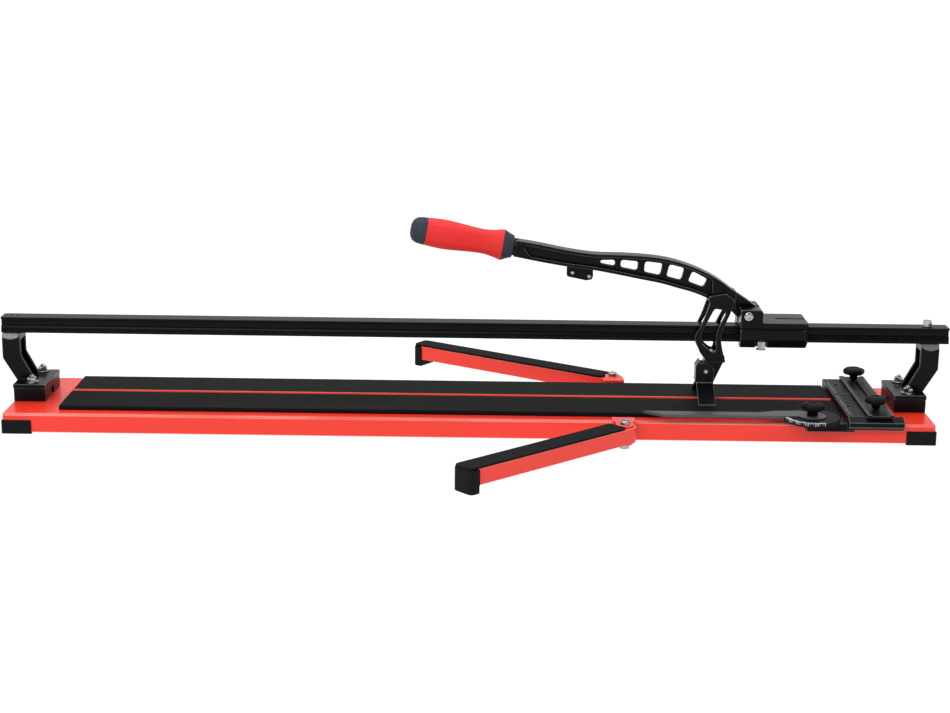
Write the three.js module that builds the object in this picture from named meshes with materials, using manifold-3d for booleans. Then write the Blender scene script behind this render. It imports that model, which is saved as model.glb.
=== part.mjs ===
// Manual tile cutter with a single guide rail, a lever carriage and a folded steel bed.
// Millimetres. +X runs along the rail, +Y away from the user, +Z up, bench at Z = 0.
import * as THREE from "three";
import { mergeVertices } from "three/addons/utils/BufferGeometryUtils.js";
import Module from "manifold-3d";

const wasm = await Module();
wasm.setup();

// ---------- driving dimensions ----------
const gap = 0.3;              // space left between pieces that touch
const baseLength = 1440;
const baseWidth = 223;
const baseTop = 32.5;
const baseBottom = 2.5;
const lip = 15;               // width of the folded lip under the bed's edge
const sheet = 3;              // folded sheet thickness of the bed

const halfLength = baseLength / 2;
const halfWidth = baseWidth / 2;

const lineY = 8.5;            // rail, wheel and breaking ridge share this plane
const padThick = 6.7;
const padSlot = 11;           // space between the pads for the ridge
const padLeft = -(halfLength - 82.5);
const padRight = halfLength - 141;
const padFront = -(halfWidth - 23.5);
const padBack = halfWidth - 14;
const padTop = baseTop + gap + padThick;
const ridgeTop = padTop + 1.1;

const footLength = 46;
const footHeight = 22;
const footSkin = 1.5;

const spacerLength = 49.5;
const pedestalX = halfLength - 0.45 - spacerLength / 2;   // middle of the spacer block
const boltX = pedestalX - 1.5;
const boltSpread = 35;
const boltRadius = 4;
const spacerDepth = 99;
const spacerHeight = 19.7;
const footPlate = 7.5;
const uprightOuter = halfLength + 23;
const uprightThick = 29.5;
const uprightWidth = 38;
const kneeHeight = 95;

const railLeft = -(halfLength + 24);
const railRight = halfLength + 37.5;
const railScrewX = halfLength + 5;
const railScrewRadius = 3;
const railBottom = 135.5;
const railHeight = 25.5;
const railWidth = 29.4;
const railTop = railBottom + railHeight;

const carriageLeft = 425;
const carriageLength = 107;
const carriageWidth = 77;
const carriageTop = railTop + 10;
const carriageBottom = railBottom - 4.5;
const clevisLength = 35;
const clevisTop = carriageTop + 20.5;
const clevisSlot = 16.6;

const pivotX = carriageLeft + 11.5;
const pivotZ = railTop + 20.5;
const pivotRadius = 4;
const hubRadius = 14.5;

const leverHalf = 13;         // half width of the lever's flanges
const lugHalf = (clevisSlot - 1.2) / 2;
const legInner = railWidth / 2 + 2.8;   // the fork legs straddle the rail
const legOuter = legInner + 6;
const yokeTop = railBottom - 22;
const yokeBottom = yokeTop - 10.5;

const gripStart = new THREE.Vector3(pivotX - 369.5, lineY, pivotZ + 100);
const gripTilt = THREE.MathUtils.degToRad(9.4);
const collarLength = 17;
const gripLength = 121;
const capLength = 26;
const tangRadius = 8;

const wheelX = pivotX - 60;
const yokeBoltX = wheelX + 10.5;
const wheelRadius = 10.4;
const wheelZ = ridgeTop + 1 + wheelRadius;
const footPinX = wheelX;
const footPinZ = padTop + 45.9;
const pinRadius = 3;
const wheelThick = 2;
const wingReach = 54.5;
const wingDrop = padTop + gap;
const footSheet = 3;
const earInner = 8.6;

const fenceLeft = padRight + 4;
const fenceRight = fenceLeft + 69.5;
const fenceFront = -(halfWidth + 5.5);
const fenceBack = halfWidth - 2;
const fenceTop = baseTop + 14.5;
const rulerLeft = fenceLeft + 28.5;
const rulerWidth = 40;
const rulerThick = 4.2;
const rulerFront = fenceFront - 11.5;
const rulerBack = fenceBack + 4.5;
const knobX = rulerLeft + rulerWidth / 2;
const knobBackY = rulerBack - 19;
const knobFrontY = rulerFront + 43;
const knobRadius = 17.5;

const guideX = fenceLeft - 55;
const guideY = -(halfWidth + 7.5);
const guideReach = 258;
const discRadius = 43.5;
const discBottom = padTop + gap;
const discThick = 6.3;
const barBottom = discBottom + 3.7;
const barThick = 4.5;

const armHingeX = 239;
const armFrontHingeY = -(halfWidth + 38.5);
const armBackHingeY = halfWidth + 34.5;
const armFrontLength = 332;
const armBackLength = 402;
const armFrontAngle = 42.9;
const armBackAngle = 34;
const armWidth = 35;
const armBottom = 12;
const armTop = 36;
const armSheet = 2;
const capWall = 2;            // how far an arm's end cap stands out beyond the channel
const capReach = 17;          // how much of the arm its end cap covers

// ---------- finishes ----------
const finish = (color, roughness, metalness) =>
  new THREE.MeshStandardMaterial({ color, roughness, metalness });
const redPaint = finish(0xd3261c, 0.35, 0.1);
const blackCasting = finish(0x17181a, 0.45, 0.4);
const railBlack = finish(0x15171a, 0.25, 0.6);
const blackRubber = finish(0x1c1d1f, 0.85, 0.0);
const blackPlastic = finish(0x222427, 0.5, 0.0);
const slatePlastic = finish(0x3d434c, 0.5, 0.0);
const gripRed = finish(0xd8342c, 0.5, 0.0);
const zinc = finish(0xb9bdc2, 0.3, 0.9);
const wheelSteel = finish(0x8f949a, 0.25, 1.0);

// ---------- solid helpers ----------
function solid(geometry) {
  const bare = geometry.clone();
  bare.deleteAttribute("normal");
  bare.deleteAttribute("uv");
  const merged = mergeVertices(bare, 1e-4);
  return new wasm.Manifold(new wasm.Mesh({
    numProp: 3,
    vertProperties: new Float32Array(merged.attributes.position.array),
    triVerts: new Uint32Array(merged.index.array),
  }));
}

function surface(body) {
  const data = body.getMesh();
  const geometry = new THREE.BufferGeometry();
  geometry.setAttribute("position", new THREE.BufferAttribute(data.vertProperties.slice(), 3));
  geometry.setIndex(new THREE.BufferAttribute(data.triVerts.slice(), 1));
  const flat = geometry.toNonIndexed();
  flat.computeVertexNormals();
  return flat;
}

const join = (first, ...rest) => rest.reduce((sum, body) => sum.add(body), first);
const cut = (first, ...rest) => rest.reduce((left, body) => left.subtract(body), first);

function piece(name, body, material) {
  const mesh = new THREE.Mesh(surface(body), material.clone());
  mesh.name = name;
  return mesh;
}

function block(x0, x1, y0, y1, z0, z1) {
  const geometry = new THREE.BoxGeometry(x1 - x0, y1 - y0, z1 - z0);
  geometry.translate((x0 + x1) / 2, (y0 + y1) / 2, (z0 + z1) / 2);
  return solid(geometry);
}

function extruded(points, depth) {
  const shape = new THREE.Shape(points.map(([u, v]) => new THREE.Vector2(u, v)));
  return new THREE.ExtrudeGeometry(shape, { depth, bevelEnabled: false });
}

// Outline seen from the front (X, Z), run along Y.
function sidePlate(points, y0, y1) {
  return solid(extruded(points, y1 - y0).rotateX(Math.PI / 2).translate(0, y1, 0));
}

// Outline seen from above (X, Y), run along Z.
function flatPlate(points, z0, z1) {
  return solid(extruded(points, z1 - z0).translate(0, 0, z0));
}

// Cross-section (Y, Z), run along X.
function runAlongX(points, x0, x1) {
  const turn = new THREE.Matrix4().makeBasis(
    new THREE.Vector3(0, 1, 0),
    new THREE.Vector3(0, 0, 1),
    new THREE.Vector3(1, 0, 0),
  );
  return solid(extruded(points, x1 - x0).applyMatrix4(turn).translate(x0, 0, 0));
}

function rodZ(x, y, radius, z0, z1, sides = 24) {
  const geometry = new THREE.CylinderGeometry(radius, radius, z1 - z0, sides);
  return solid(geometry.rotateX(Math.PI / 2).translate(x, y, (z0 + z1) / 2));
}

function rodY(x, z, radius, y0, y1, sides = 24) {
  const geometry = new THREE.CylinderGeometry(radius, radius, y1 - y0, sides);
  return solid(geometry.translate(x, (y0 + y1) / 2, z));
}

function rodX(y, z, radius, x0, x1, sides = 24) {
  const geometry = new THREE.CylinderGeometry(radius, radius, x1 - x0, sides);
  return solid(geometry.rotateZ(Math.PI / 2).translate((x0 + x1) / 2, y, z));
}

const hexZ = (x, y, acrossFlats, z0, z1) =>
  rodZ(x, y, acrossFlats / Math.sqrt(3), z0, z1, 6);

// Turned shape about a vertical axis; profile is [radius, height] pairs.
function turnedZ(x, y, profile, sides = 24) {
  const points = profile.map(([r, h]) => new THREE.Vector2(r, h));
  return solid(new THREE.LatheGeometry(points, sides).rotateX(Math.PI / 2).translate(x, y, 0));
}

// A smooth run of points through the given ones.
function flowing(points, steps = 3) {
  const at = (i) => points[Math.min(Math.max(i, 0), points.length - 1)];
  const run = [];
  for (let i = 0; i < points.length - 1; i += 1) {
    for (let step = 0; step < steps; step += 1) {
      const t = step / steps;
      run.push([0, 1].map((k) => {
        const [a, b, c, d] = [at(i - 1)[k], at(i)[k], at(i + 1)[k], at(i + 2)[k]];
        return 0.5 * (2 * b + (c - a) * t + (2 * a - 5 * b + 4 * c - d) * t * t
          + (3 * b - a - 3 * c + d) * t * t * t);
      }));
    }
  }
  run.push(points[points.length - 1]);
  return run;
}

// A polygon with its corners rounded off, starting radius away from each corner.
function rounded(points, radius, steps = 3) {
  return points.flatMap((corner, i) => {
    const from = new THREE.Vector2(...corner);
    const ends = [points[(i + points.length - 1) % points.length], points[(i + 1) % points.length]]
      .map((other) => {
        const side = new THREE.Vector2(...other).sub(from);
        return from.clone().addScaledVector(side.clone().normalize(), Math.min(radius, side.length() * 0.45));
      });
    const arc = new THREE.QuadraticBezierCurve(ends[0], from, ends[1]);
    return arc.getPoints(steps).map(({ x, y }) => [x, y]);
  });
}

// A closed cross-section made by mirroring half of it about the rail's plane.
function mirrored(half) {
  const right = half.map(([u, v]) => [lineY + u, v]);
  const left = half.slice().reverse().map(([u, v]) => [lineY - u, v]);
  return right.concat(left);
}

// ---------- bed ----------
function baseChannel() {
  const w = halfWidth;
  const h = halfLength;
  const r = 2.5;
  const skin = [[-w, baseBottom], [w, baseBottom], [w, baseTop - r], [w - r * 0.3, baseTop - r * 0.3],
    [w - r, baseTop], [-w + r, baseTop], [-w + r * 0.3, baseTop - r * 0.3], [-w, baseTop - r]];
  const inside = block(-h + sheet, h - sheet, -w + sheet, w - sheet, baseBottom + sheet, baseTop - sheet);
  const mouth = block(-h + sheet, h - sheet, -w + lip, w - lip, 0, baseBottom + sheet + 1);
  const bolts = [-1, 1].flatMap((side) => pedestalBores(side, baseTop - sheet - 1, baseTop + 1));
  return piece("base_channel", cut(runAlongX(skin, -h, h), inside, mouth, ...bolts), redPaint);
}

function breakingRidge() {
  const foot = padSlot / 2 - 0.6;
  const half = [[foot, baseTop + gap], [foot, baseTop + 3], [1.8, ridgeTop - 0.8], [0.8, ridgeTop]];
  return piece("breaking_ridge", runAlongX(mirrored(half), padLeft, padRight), redPaint);
}

function bedPad(name, y0, y1) {
  const z0 = baseTop + gap;
  const c = 1.2;
  const section = [[y0, z0], [y1, z0], [y1, padTop - c], [y1 - c, padTop], [y0 + c, padTop],
    [y0, padTop - c]];
  return piece(name, runAlongX(section, padLeft, padRight), blackRubber);
}

function cornerFoot(name, sideX, sideY) {
  const span = (side, a, b) => (side > 0 ? [a, b] : [-b, -a]);
  const boxAt = (xa, xb, ya, yb, z0, z1) =>
    block(...span(sideX, xa, xb), ...span(sideY, ya, yb), z0, z1);
  const ox = halfLength + footSkin + gap;
  const oy = halfWidth + footSkin + gap;
  const cap = boxAt(ox - footLength, ox, oy - footLength, oy, 0, footHeight);
  const room = boxAt(0, halfLength + gap, 0, halfWidth + gap, baseBottom - gap, footHeight + 1);
  const plug = boxAt(ox - footLength, halfLength - sheet - gap, oy - footLength, halfWidth - lip - gap,
    1, footHeight - 2);
  return piece(name, join(cut(cap, room), plug), blackRubber);
}

// ---------- pedestals ----------
const pedestalBores = (side, z0, z1) => [-1, 1].map((end) =>
  rodZ(side * boltX, lineY + end * boltSpread, boltRadius + 2 * gap, z0, z1));

// A block between two distances from the bed's middle, on either side of it.
const sideBlock = (side, near, far, y0, y1, z0, z1) =>
  block(Math.min(side * near, side * far), Math.max(side * near, side * far), y0, y1, z0, z1);

function spacerBlock(name, side) {
  const inner = pedestalX - spacerLength / 2;
  const outer = pedestalX + spacerLength / 2;
  const z0 = baseTop + gap;
  const half = spacerDepth / 2;
  const body = sideBlock(side, inner, outer, lineY - half, lineY + half, z0, z0 + spacerHeight);
  const notch = sideBlock(side, inner - 1, inner + 10, lineY - 7.5, lineY + 7.5, z0 - 1, z0 + 12);
  return piece(name, cut(body, notch, ...pedestalBores(side, z0 - 1, z0 + spacerHeight + 1)), blackPlastic);
}

function pedestal(name, side) {
  const plateBottom = baseTop + spacerHeight + 2 * gap;
  const plateTop = plateBottom + footPlate;
  const top = railBottom - gap;
  const inner = uprightOuter - uprightThick;
  const half = uprightWidth / 2;
  const depth = spacerDepth / 2;
  const shift = 22.5;
  const web = 6;
  const flip = (points) => points.map(([x, z]) => [side * x, z]);
  const outline = flip([[uprightOuter, top], [inner, top], [inner, kneeHeight + 5],
    [inner - shift, plateTop - 3], [uprightOuter - shift, plateTop - 3], [uprightOuter, kneeHeight]]);
  const recess = flip([[uprightOuter - web, top - 11], [inner - 30, top - 11], [inner - 60, plateTop],
    [uprightOuter - web - shift, plateTop], [uprightOuter - web, kneeHeight + 2]]);
  const plate = sideBlock(side, pedestalX - spacerLength / 2 - 1, pedestalX + spacerLength / 2 + 1,
    lineY - depth, lineY + depth, plateBottom, plateTop);
  const upright = cut(sidePlate(outline, lineY - half, lineY + half),
    sidePlate(recess, lineY - half + 5, lineY + half - 5));
  const ends = [side * (inner + 2), side * (uprightOuter + 1)].sort((a, b) => a - b);
  const scoop = runAlongX([[lineY - half - 1, top + 1], [lineY - half - 1, top - 9],
    [lineY - half + 5, top + 1]], ...ends);
  const railBolt = rodZ(side * railScrewX, lineY, railScrewRadius + gap, top - 15, top + 1);
  return piece(name, cut(join(plate, upright), scoop, ...pedestalBores(side, plateBottom - 1, plateTop + 1),
    railBolt), blackCasting);
}

function pedestalBolt(name, side, end) {
  const x = side * boltX;
  const y = lineY + end * boltSpread;
  const seat = baseTop + spacerHeight + footPlate + 3 * gap;
  const under = baseTop - sheet - gap;
  return piece(name, join(hexZ(x, y, 13, under - 6, under), rodZ(x, y, boltRadius, under - 1, seat + 12),
    rodZ(x, y, 10.5, seat, seat + 1.8), hexZ(x, y, 13, seat + 1.8, seat + 8.4)), zinc);
}

// ---------- rail ----------
function rail() {
  const h = railWidth / 2;
  const t = railTop;
  const b = railBottom;
  const half = [[h - 0.6, b], [h, b + 1.4], [h - 1.6, b + 10.6], [h - 4.2, b + 11.6], [h - 4.2, t - 3.8],
    [h - 0.8, t - 3.4], [h, t - 2.6], [h, t - 1], [h - 1, t]];
  const core = block(railLeft - 1, railRight + 1, lineY - 6.5, lineY + 6.5, b + 4, t - 7);
  const seat = rodZ(-railScrewX, lineY, 5.8, t - 3.3, t + 1);
  const bores = [-1, 1].map((side) =>
    rodZ(side * railScrewX, lineY, railScrewRadius + gap, b - 1, t + 1));
  return piece("rail", cut(runAlongX(mirrored(half), railLeft, railRight), core, seat, ...bores), railBlack);
}

function railScrewLeft() {
  const t = railTop;
  const head = rodZ(-railScrewX, lineY, 5.4, t - 3, t);
  const socket = hexZ(-railScrewX, lineY, 5, t - 2, t + 1);
  const shank = rodZ(-railScrewX, lineY, railScrewRadius, railBottom - 9.5, t - 2.5);
  return piece("rail_screw_left", cut(join(head, shank), socket), zinc);
}

function railBoltRight() {
  const t = railTop + gap;
  const head = join(rodZ(railScrewX, lineY, 8, t, t + 1.6), hexZ(railScrewX, lineY, 13, t + 1.6, t + 9.6));
  const shank = rodZ(railScrewX, lineY, railScrewRadius, railBottom - 9.5, t + 1);
  return piece("rail_bolt_right", join(head, shank), zinc);
}

// ---------- side fence ----------
function fencePlate() {
  const body = block(fenceLeft, fenceRight, fenceFront, fenceBack, baseTop + gap, fenceTop);
  const groove = block(fenceLeft - 1, rulerLeft, lineY + 3.5, lineY + 9.5, fenceTop - 1.4, fenceTop + 1);
  const holes = [[16, fenceBack - 36.5], [10.6, fenceFront + 57.6]].map(([x, y]) =>
    rodZ(fenceLeft + x, y, 4.5, fenceTop - 4, fenceTop + 1));
  const studs = [knobBackY, knobFrontY].map((y) => rodZ(knobX, y, 3 + gap, baseTop + 4, fenceTop + 1));
  const under = block(fenceLeft + 6, fenceRight - 6, fenceFront + 12, fenceBack - 8, baseTop, baseTop + 3);
  return piece("fence_plate", cut(body, groove, under, ...holes, ...studs), blackCasting);
}

function fenceFrontBar() {
  const y = fenceFront - gap;
  const clear = -halfWidth - 0.4;
  const section = [[y, fenceTop], [y - 14, fenceTop - 7], [y - 14, baseTop], [y - 7, baseTop - 6],
    [clear, baseTop - 6], [clear, baseTop - gap], [y, baseTop - gap]];
  return piece("fence_front_bar", runAlongX(section, fenceLeft, fenceRight + 15.5), blackPlastic);
}

function stopRuler() {
  const z0 = fenceTop + gap;
  const z1 = z0 + rulerThick;
  const right = rulerLeft + rulerWidth;
  const half = 4.5;
  const body = block(rulerLeft, right, rulerFront, rulerBack, z0, z1);
  const step = block(rulerLeft + 7, right - 7, rulerFront - 1, rulerBack + 1, z1 - 1.2, z1 + 1);
  const ends = [knobFrontY - 12, knobBackY + 11];
  const slot = join(block(knobX - half, knobX + half, ...ends, z0 - 1, z1 + 1),
    ...ends.map((y) => rodZ(knobX, y, half, z0 - 1, z1 + 1)));
  return piece("stop_ruler", cut(body, step, slot), blackCasting);
}

function clampKnob(name, x, y, seat, top, stem, foot) {
  const r = knobRadius;
  const profile = [[0, foot], [3, foot], [3, seat], [stem, seat], [stem, top - 11.9], [r - 3, top - 9.9],
    [r, top - 7.4], [r, top - 3.9], [r - 2, top - 1.9], [r / 2, top - 0.4], [0, top]];
  const notches = [0, 1, 2, 3, 4, 5].map((i) => {
    const a = (i + 0.5) * Math.PI / 3;
    return rodZ(x + (r + 3.4) * Math.cos(a), y + (r + 3.4) * Math.sin(a), 5, top - 18, top + 6, 12);
  });
  return piece(name, cut(turnedZ(x, y, profile), ...notches), blackPlastic);
}

// ---------- angle guide ----------
function guideSlide() {
  const back = guideY + 24;
  const front = guideY - 6;
  const clear = -halfWidth - 0.4;
  const z0 = baseTop + gap;
  const plate = block(guideX - 25, fenceLeft - 1, front, back, z0, z0 + 4.2);
  const hook = block(guideX - 8, fenceLeft - 1, front, clear, baseTop - 9, z0 + 1);
  const tail = block(guideX, fenceLeft + 10, front, clear, baseTop - 9, baseTop - 6 - gap);
  const boss = rodZ(guideX, guideY, 18, z0 + 1, discBottom - gap, 32);
  const bore = rodZ(guideX, guideY, 3 + gap, z0 + 0.6, discBottom + 1);
  return piece("guide_slide", cut(join(plate, hook, tail, boss), bore), blackPlastic);
}

function protractorDisc() {
  const points = [];
  for (let step = 0; step < 144; step += 1) {
    const angle = step * 2.5;
    const toothed = angle >= 150 && angle <= 290;
    const radius = toothed ? discRadius - (step % 2) * 1.3 : discRadius - 1.3;
    const a = THREE.MathUtils.degToRad(angle);
    points.push([guideX + radius * Math.cos(a), guideY + radius * Math.sin(a)]);
  }
  const body = flatPlate(points, discBottom, discBottom + discThick);
  return piece("protractor_disc", cut(body, rodZ(guideX, guideY, 3 + gap, 30, 60)), blackPlastic);
}

// The blade is rebated where it lies on the disc.
function angleBar() {
  const top = barBottom + barThick;
  const near = guideX - guideReach;
  const outline = [[near, guideY + 15], [near + 30, guideY - 6], [guideX, guideY - 6], [guideX, guideY + 20],
    [guideX - 18, guideY + 25], [guideX - 50, guideY + 25], [guideX - 80, guideY + 15]];
  const bar = join(flatPlate(outline, barBottom, top), rodZ(guideX, guideY, 21, barBottom, top, 36));
  const rebate = rodZ(guideX, guideY, discRadius + gap, discBottom, discBottom + discThick + gap, 72);
  return piece("angle_bar", cut(bar, rebate, rodZ(guideX, guideY, 3 + gap, 30, 60)), slatePlastic);
}

// ---------- carriage ----------
const nipX = carriageLeft + 33.5;
const nipY = lineY - carriageWidth / 2 + 5;
const nipRadius = 3;
const slitStart = carriageLeft + 62;
const slitHalf = 3.6;

function carriageBody() {
  const h = carriageWidth / 2;
  const right = carriageLeft + carriageLength;
  const half = [[h - 4.5, carriageBottom], [h, carriageBottom + 14], [h, railTop - 1.5], [h - 2, railTop],
    [h - 2, carriageTop]];
  const body = runAlongX(mirrored(half), carriageLeft, right);
  const cornerCuts = [-1, 1].map((side) => {
    const y = lineY + side * h;
    const corner = [[right - 7, y + side], [right + 1, y + side], [right + 1, y - side * 7]];
    return flatPlate(corner, carriageBottom - 20, clevisTop);
  });
  const endBevel = sidePlate([[right - 4, carriageBottom - 1], [right + 1, carriageBottom - 1],
    [right + 1, carriageBottom + 12]], lineY - carriageWidth, lineY + carriageWidth);
  const towerEnd = carriageLeft + clevisLength;
  const tower = sidePlate([[carriageLeft, carriageTop - 5], [towerEnd, carriageTop - 5],
    [towerEnd, clevisTop - 3], [towerEnd - 4, clevisTop], [carriageLeft, clevisTop]],
  lineY - h + 2, lineY + h - 2);
  const slot = block(carriageLeft - 1, towerEnd + 1, lineY - clevisSlot / 2, lineY + clevisSlot / 2,
    pivotZ - hubRadius - 1.5, clevisTop + 1);
  const tunnel = block(carriageLeft - 1, right + 1, lineY - railWidth / 2 - 1, lineY + railWidth / 2 + 1,
    carriageBottom - 1, railTop + 1);
  const slit = join(block(slitStart, right + 1, lineY - slitHalf, lineY + slitHalf, railTop, carriageTop + 1),
    rodZ(slitStart, lineY, slitHalf, railTop, carriageTop + 1));
  const pivot = rodY(pivotX, pivotZ, pivotRadius + gap, lineY - h, lineY + h);
  const nutRoom = rodZ(nipX, nipY, 9, carriageBottom - 1, carriageBottom + 11.5);
  const bolt = rodZ(nipX, nipY, nipRadius + gap, carriageBottom - 1, carriageBottom + 26);
  return piece("carriage_body", cut(join(body, tower), ...cornerCuts, endBevel, slot, tunnel, slit, pivot,
    nutRoom, bolt), blackCasting);
}

function glideStrip(name, side) {
  const inner = railWidth / 2 - 3.6;
  const outer = railWidth / 2 + 0.7;
  const ys = [lineY + side * inner, lineY + side * outer].sort((a, b) => a - b);
  const x0 = carriageLeft + 6;
  return piece(name, block(x0, x0 + carriageLength - 12, ...ys, railBottom + 12.3, railTop - 4.5),
    slatePlastic);
}

function carriageBolt() {
  const z = carriageBottom - 3;
  return piece("carriage_bolt", join(rodZ(nipX, nipY, 7, z, z + 2), hexZ(nipX, nipY, 12, z + 2, z + 13.5),
    rodZ(nipX, nipY, nipRadius, z + 10, carriageBottom + 25)), zinc);
}

function pivotBolt() {
  const front = lineY - carriageWidth / 2 + 2 - gap;
  const back = lineY + carriageWidth / 2 - 2 + gap;
  const head = rodY(pivotX, pivotZ, 7.4, front - 5, front, 28);
  const socket = rodY(pivotX, pivotZ, 3.4, front - 6, front - 2, 6);
  const nut = rodY(pivotX, pivotZ, 7.5, back, back + 6.5, 6);
  const shank = rodY(pivotX, pivotZ, pivotRadius, front - 1, back + 1);
  return piece("pivot_bolt", cut(join(head, nut, shank), socket), zinc);
}

// ---------- lever ----------
// Outlines of the lever are [X, Z] pairs from its pivot, from the top of its yoke or from the
// axle of its wheel.
const from = (x0, z0) => (points) => points.map(([x, z]) => [x0 + x, z0 + z]);
const fromPivot = from(pivotX, pivotZ);
const fromYoke = from(wheelX, yokeTop);
const fromWheel = from(wheelX, wheelZ);
const fromPin = from(footPinX, footPinZ);

const leverTop = [[-365.5, 112], [-326.8, 105.8], [-287.1, 98], [-242.7, 92], [-201.5, 91.2], [-168.2, 89.6],
  [-144.4, 87.4], [-120.5, 83.4], [-96.5, 76.5], [-72.4, 67.3], [-49.7, 55.7], [-33.5, 44.8], [-24.5, 38]];
const leverUnder = [[-51.5, 8.5], [-57.6, 20.2], [-81.7, 31.1], [-105.6, 37.9], [-137.4, 46.5],
  [-168.6, 52.4], [-200.7, 58.6], [-242.4, 66.1], [-284.3, 71.2], [-326.9, 78.2], [-369.5, 86.3]];
const windows = [
  [[-231.8, 80.7], [-209.1, 81.2], [-209.1, 71.5], [-231.8, 75.8]],
  [[-199.5, 81.4], [-172.6, 79.2], [-174, 64.8], [-200, 69.8]],
  [[-161.4, 79.4], [-134.2, 76.6], [-137.6, 57.6], [-162.8, 62.6]],
  [[-122.9, 75.2], [-99.8, 69.4], [-104.5, 50.2], [-127.4, 56]],
  [[-86.8, 64.6], [-63, 52.4], [-69, 39.4], [-92.9, 48.2]],
];
const leverRib = 5.5;
const leverWeb = 4;

function leverBeam() {
  const top = flowing(fromPivot(leverTop));
  const under = flowing(fromPivot(leverUnder));
  const outline = top.concat(fromPivot([[-17.5, 34.5], [-17.5, 6.5], [-31.5, 7.5]]), under);
  const beam = sidePlate(outline, lineY - leverHalf, lineY + leverHalf);
  const left = pivotX - 358;
  const right = pivotX - 54;
  const within = ([x]) => x > left && x < right;
  const pocket = top.filter(within).map(([x, z]) => [x, z - leverRib])
    .concat(under.filter(within).map(([x, z]) => [x, z + leverRib]));
  const pockets = [-1, 1].map((side) => sidePlate(pocket,
    lineY + (side > 0 ? leverWeb : -leverHalf - 1), lineY + (side > 0 ? leverHalf + 1 : -leverWeb)));
  const openings = windows.map((w) => sidePlate(rounded(fromPivot(w), 4), lineY - 20, lineY + 20));
  return cut(beam, ...pockets, ...openings);
}

function leverFork() {
  const outer = fromPivot([[-20.5, 22.5], [-57.5, 22.5], [-66.5, -5.5], [-73, -21.5], [-80, -31.5]])
    .concat(fromYoke([[-21, 26.5], [-12, 5], [-3.5, -4.5], [-3.5, -10.5], [29.5, -10.5], [23.6, 8.9],
      [20.7, 23.7], [21.1, 36]]), fromPivot([[-35.5, -20], [-26.8, 0.2]]));
  const hole = fromPivot([[-37.5, 6.5], [-51.5, 8.9], [-61.5, -12], [-69.5, -26.5]])
    .concat(fromYoke([[-11.5, 22.5], [3.5, 8.5], [11.5, 4], [13.5, 11.5], [12, 23.5], [12.5, 38.5]]),
      fromPivot([[-42.5, -18.2], [-33.5, 0.1]]));
  const opening = sidePlate(rounded(hole, 4), lineY - 60, lineY + 60);
  const plates = [-1, 1].map((side) => {
    const ys = [lineY + side * legInner, lineY + side * legOuter].sort((a, b) => a - b);
    return cut(sidePlate(rounded(outer, 4), ...ys), opening);
  });
  const shoulder = sidePlate(fromPivot([[-62.5, 22.5], [-52.5, 9.5], [-23.5, 9.5], [-20.5, 22.5],
    [-34.5, 33], [-60.5, 28.5]]), lineY - legOuter, lineY + legOuter);
  const yoke = block(wheelX - 3.5, wheelX + 27.5, lineY - legOuter, lineY + legOuter, yokeBottom, yokeTop);
  return join(plates[0], plates[1], shoulder, yoke);
}

function leverNose() {
  const nose = sidePlate(fromWheel([[-2.5, 54], [-6.5, 44], [-8.5, 32], [-7.5, 14], [-8, 0], [-5.5, -6],
    [0, -8], [5.5, -6], [8.5, 0], [12.5, 14], [28.5, 51], [27.5, 54]]), lineY - 8, lineY + 8);
  return cut(nose, block(wheelX - 17, wheelX + 23, lineY - 1.6, lineY + 1.6, wheelZ - 12,
    wheelZ + wheelRadius + 1.2), rodY(footPinX, footPinZ, pinRadius + gap, -60, 80),
  rodY(wheelX, wheelZ, 2.5 + gap, -60, 80));
}

function leverHub() {
  const neck = sidePlate(fromPivot([[-26.5, 38.5], [-28.5, 6.5], [-12.5, -8.5], [0, -12.5], [13.5, 0],
    [19, 8.2], [0.5, 21.2]]), lineY - lugHalf, lineY + lugHalf);
  const eye = rodY(pivotX, pivotZ, hubRadius, lineY - lugHalf, lineY + lugHalf, 36);
  return join(neck, eye);
}

function leverCasting() {
  const along = new THREE.Vector3(-Math.cos(gripTilt), 0, Math.sin(gripTilt));
  const tangEnd = collarLength + gripLength - 6;
  const tang = new THREE.CylinderGeometry(tangRadius, tangRadius, tangEnd + 10, 24);
  tang.translate(0, (tangEnd - 10) / 2, 0);
  tang.applyQuaternion(new THREE.Quaternion().setFromUnitVectors(new THREE.Vector3(0, 1, 0), along));
  tang.translate(gripStart.x, gripStart.y, gripStart.z);
  const bore = rodY(pivotX, pivotZ, pivotRadius + gap, -60, 80);
  const yokeBore = rodZ(yokeBoltX, lineY, 2.5 + gap, yokeBottom + 2, yokeTop + 1);
  return piece("lever_casting", cut(join(leverBeam(), leverFork(), leverNose(), leverHub(), solid(tang)),
    bore, yokeBore), blackCasting);
}

// Turned handle pieces: profile is [distance from the collar's end, radius] pairs round the tang.
function handlePiece(name, outer, bore, material) {
  const along = new THREE.Vector3(-Math.cos(gripTilt), 0, Math.sin(gripTilt));
  const start = outer[0][0];
  const end = outer[outer.length - 1][0];
  const points = [new THREE.Vector2(bore, start)];
  outer.forEach(([u, r]) => points.push(new THREE.Vector2(r, u)));
  points.push(new THREE.Vector2(bore, end), new THREE.Vector2(bore, start));
  const geometry = new THREE.LatheGeometry(bore > 0 ? points : points.slice(0, -1), 32);
  geometry.applyQuaternion(new THREE.Quaternion().setFromUnitVectors(new THREE.Vector3(0, 1, 0), along));
  geometry.translate(gripStart.x, gripStart.y, gripStart.z);
  return piece(name, solid(geometry), material);
}

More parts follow.
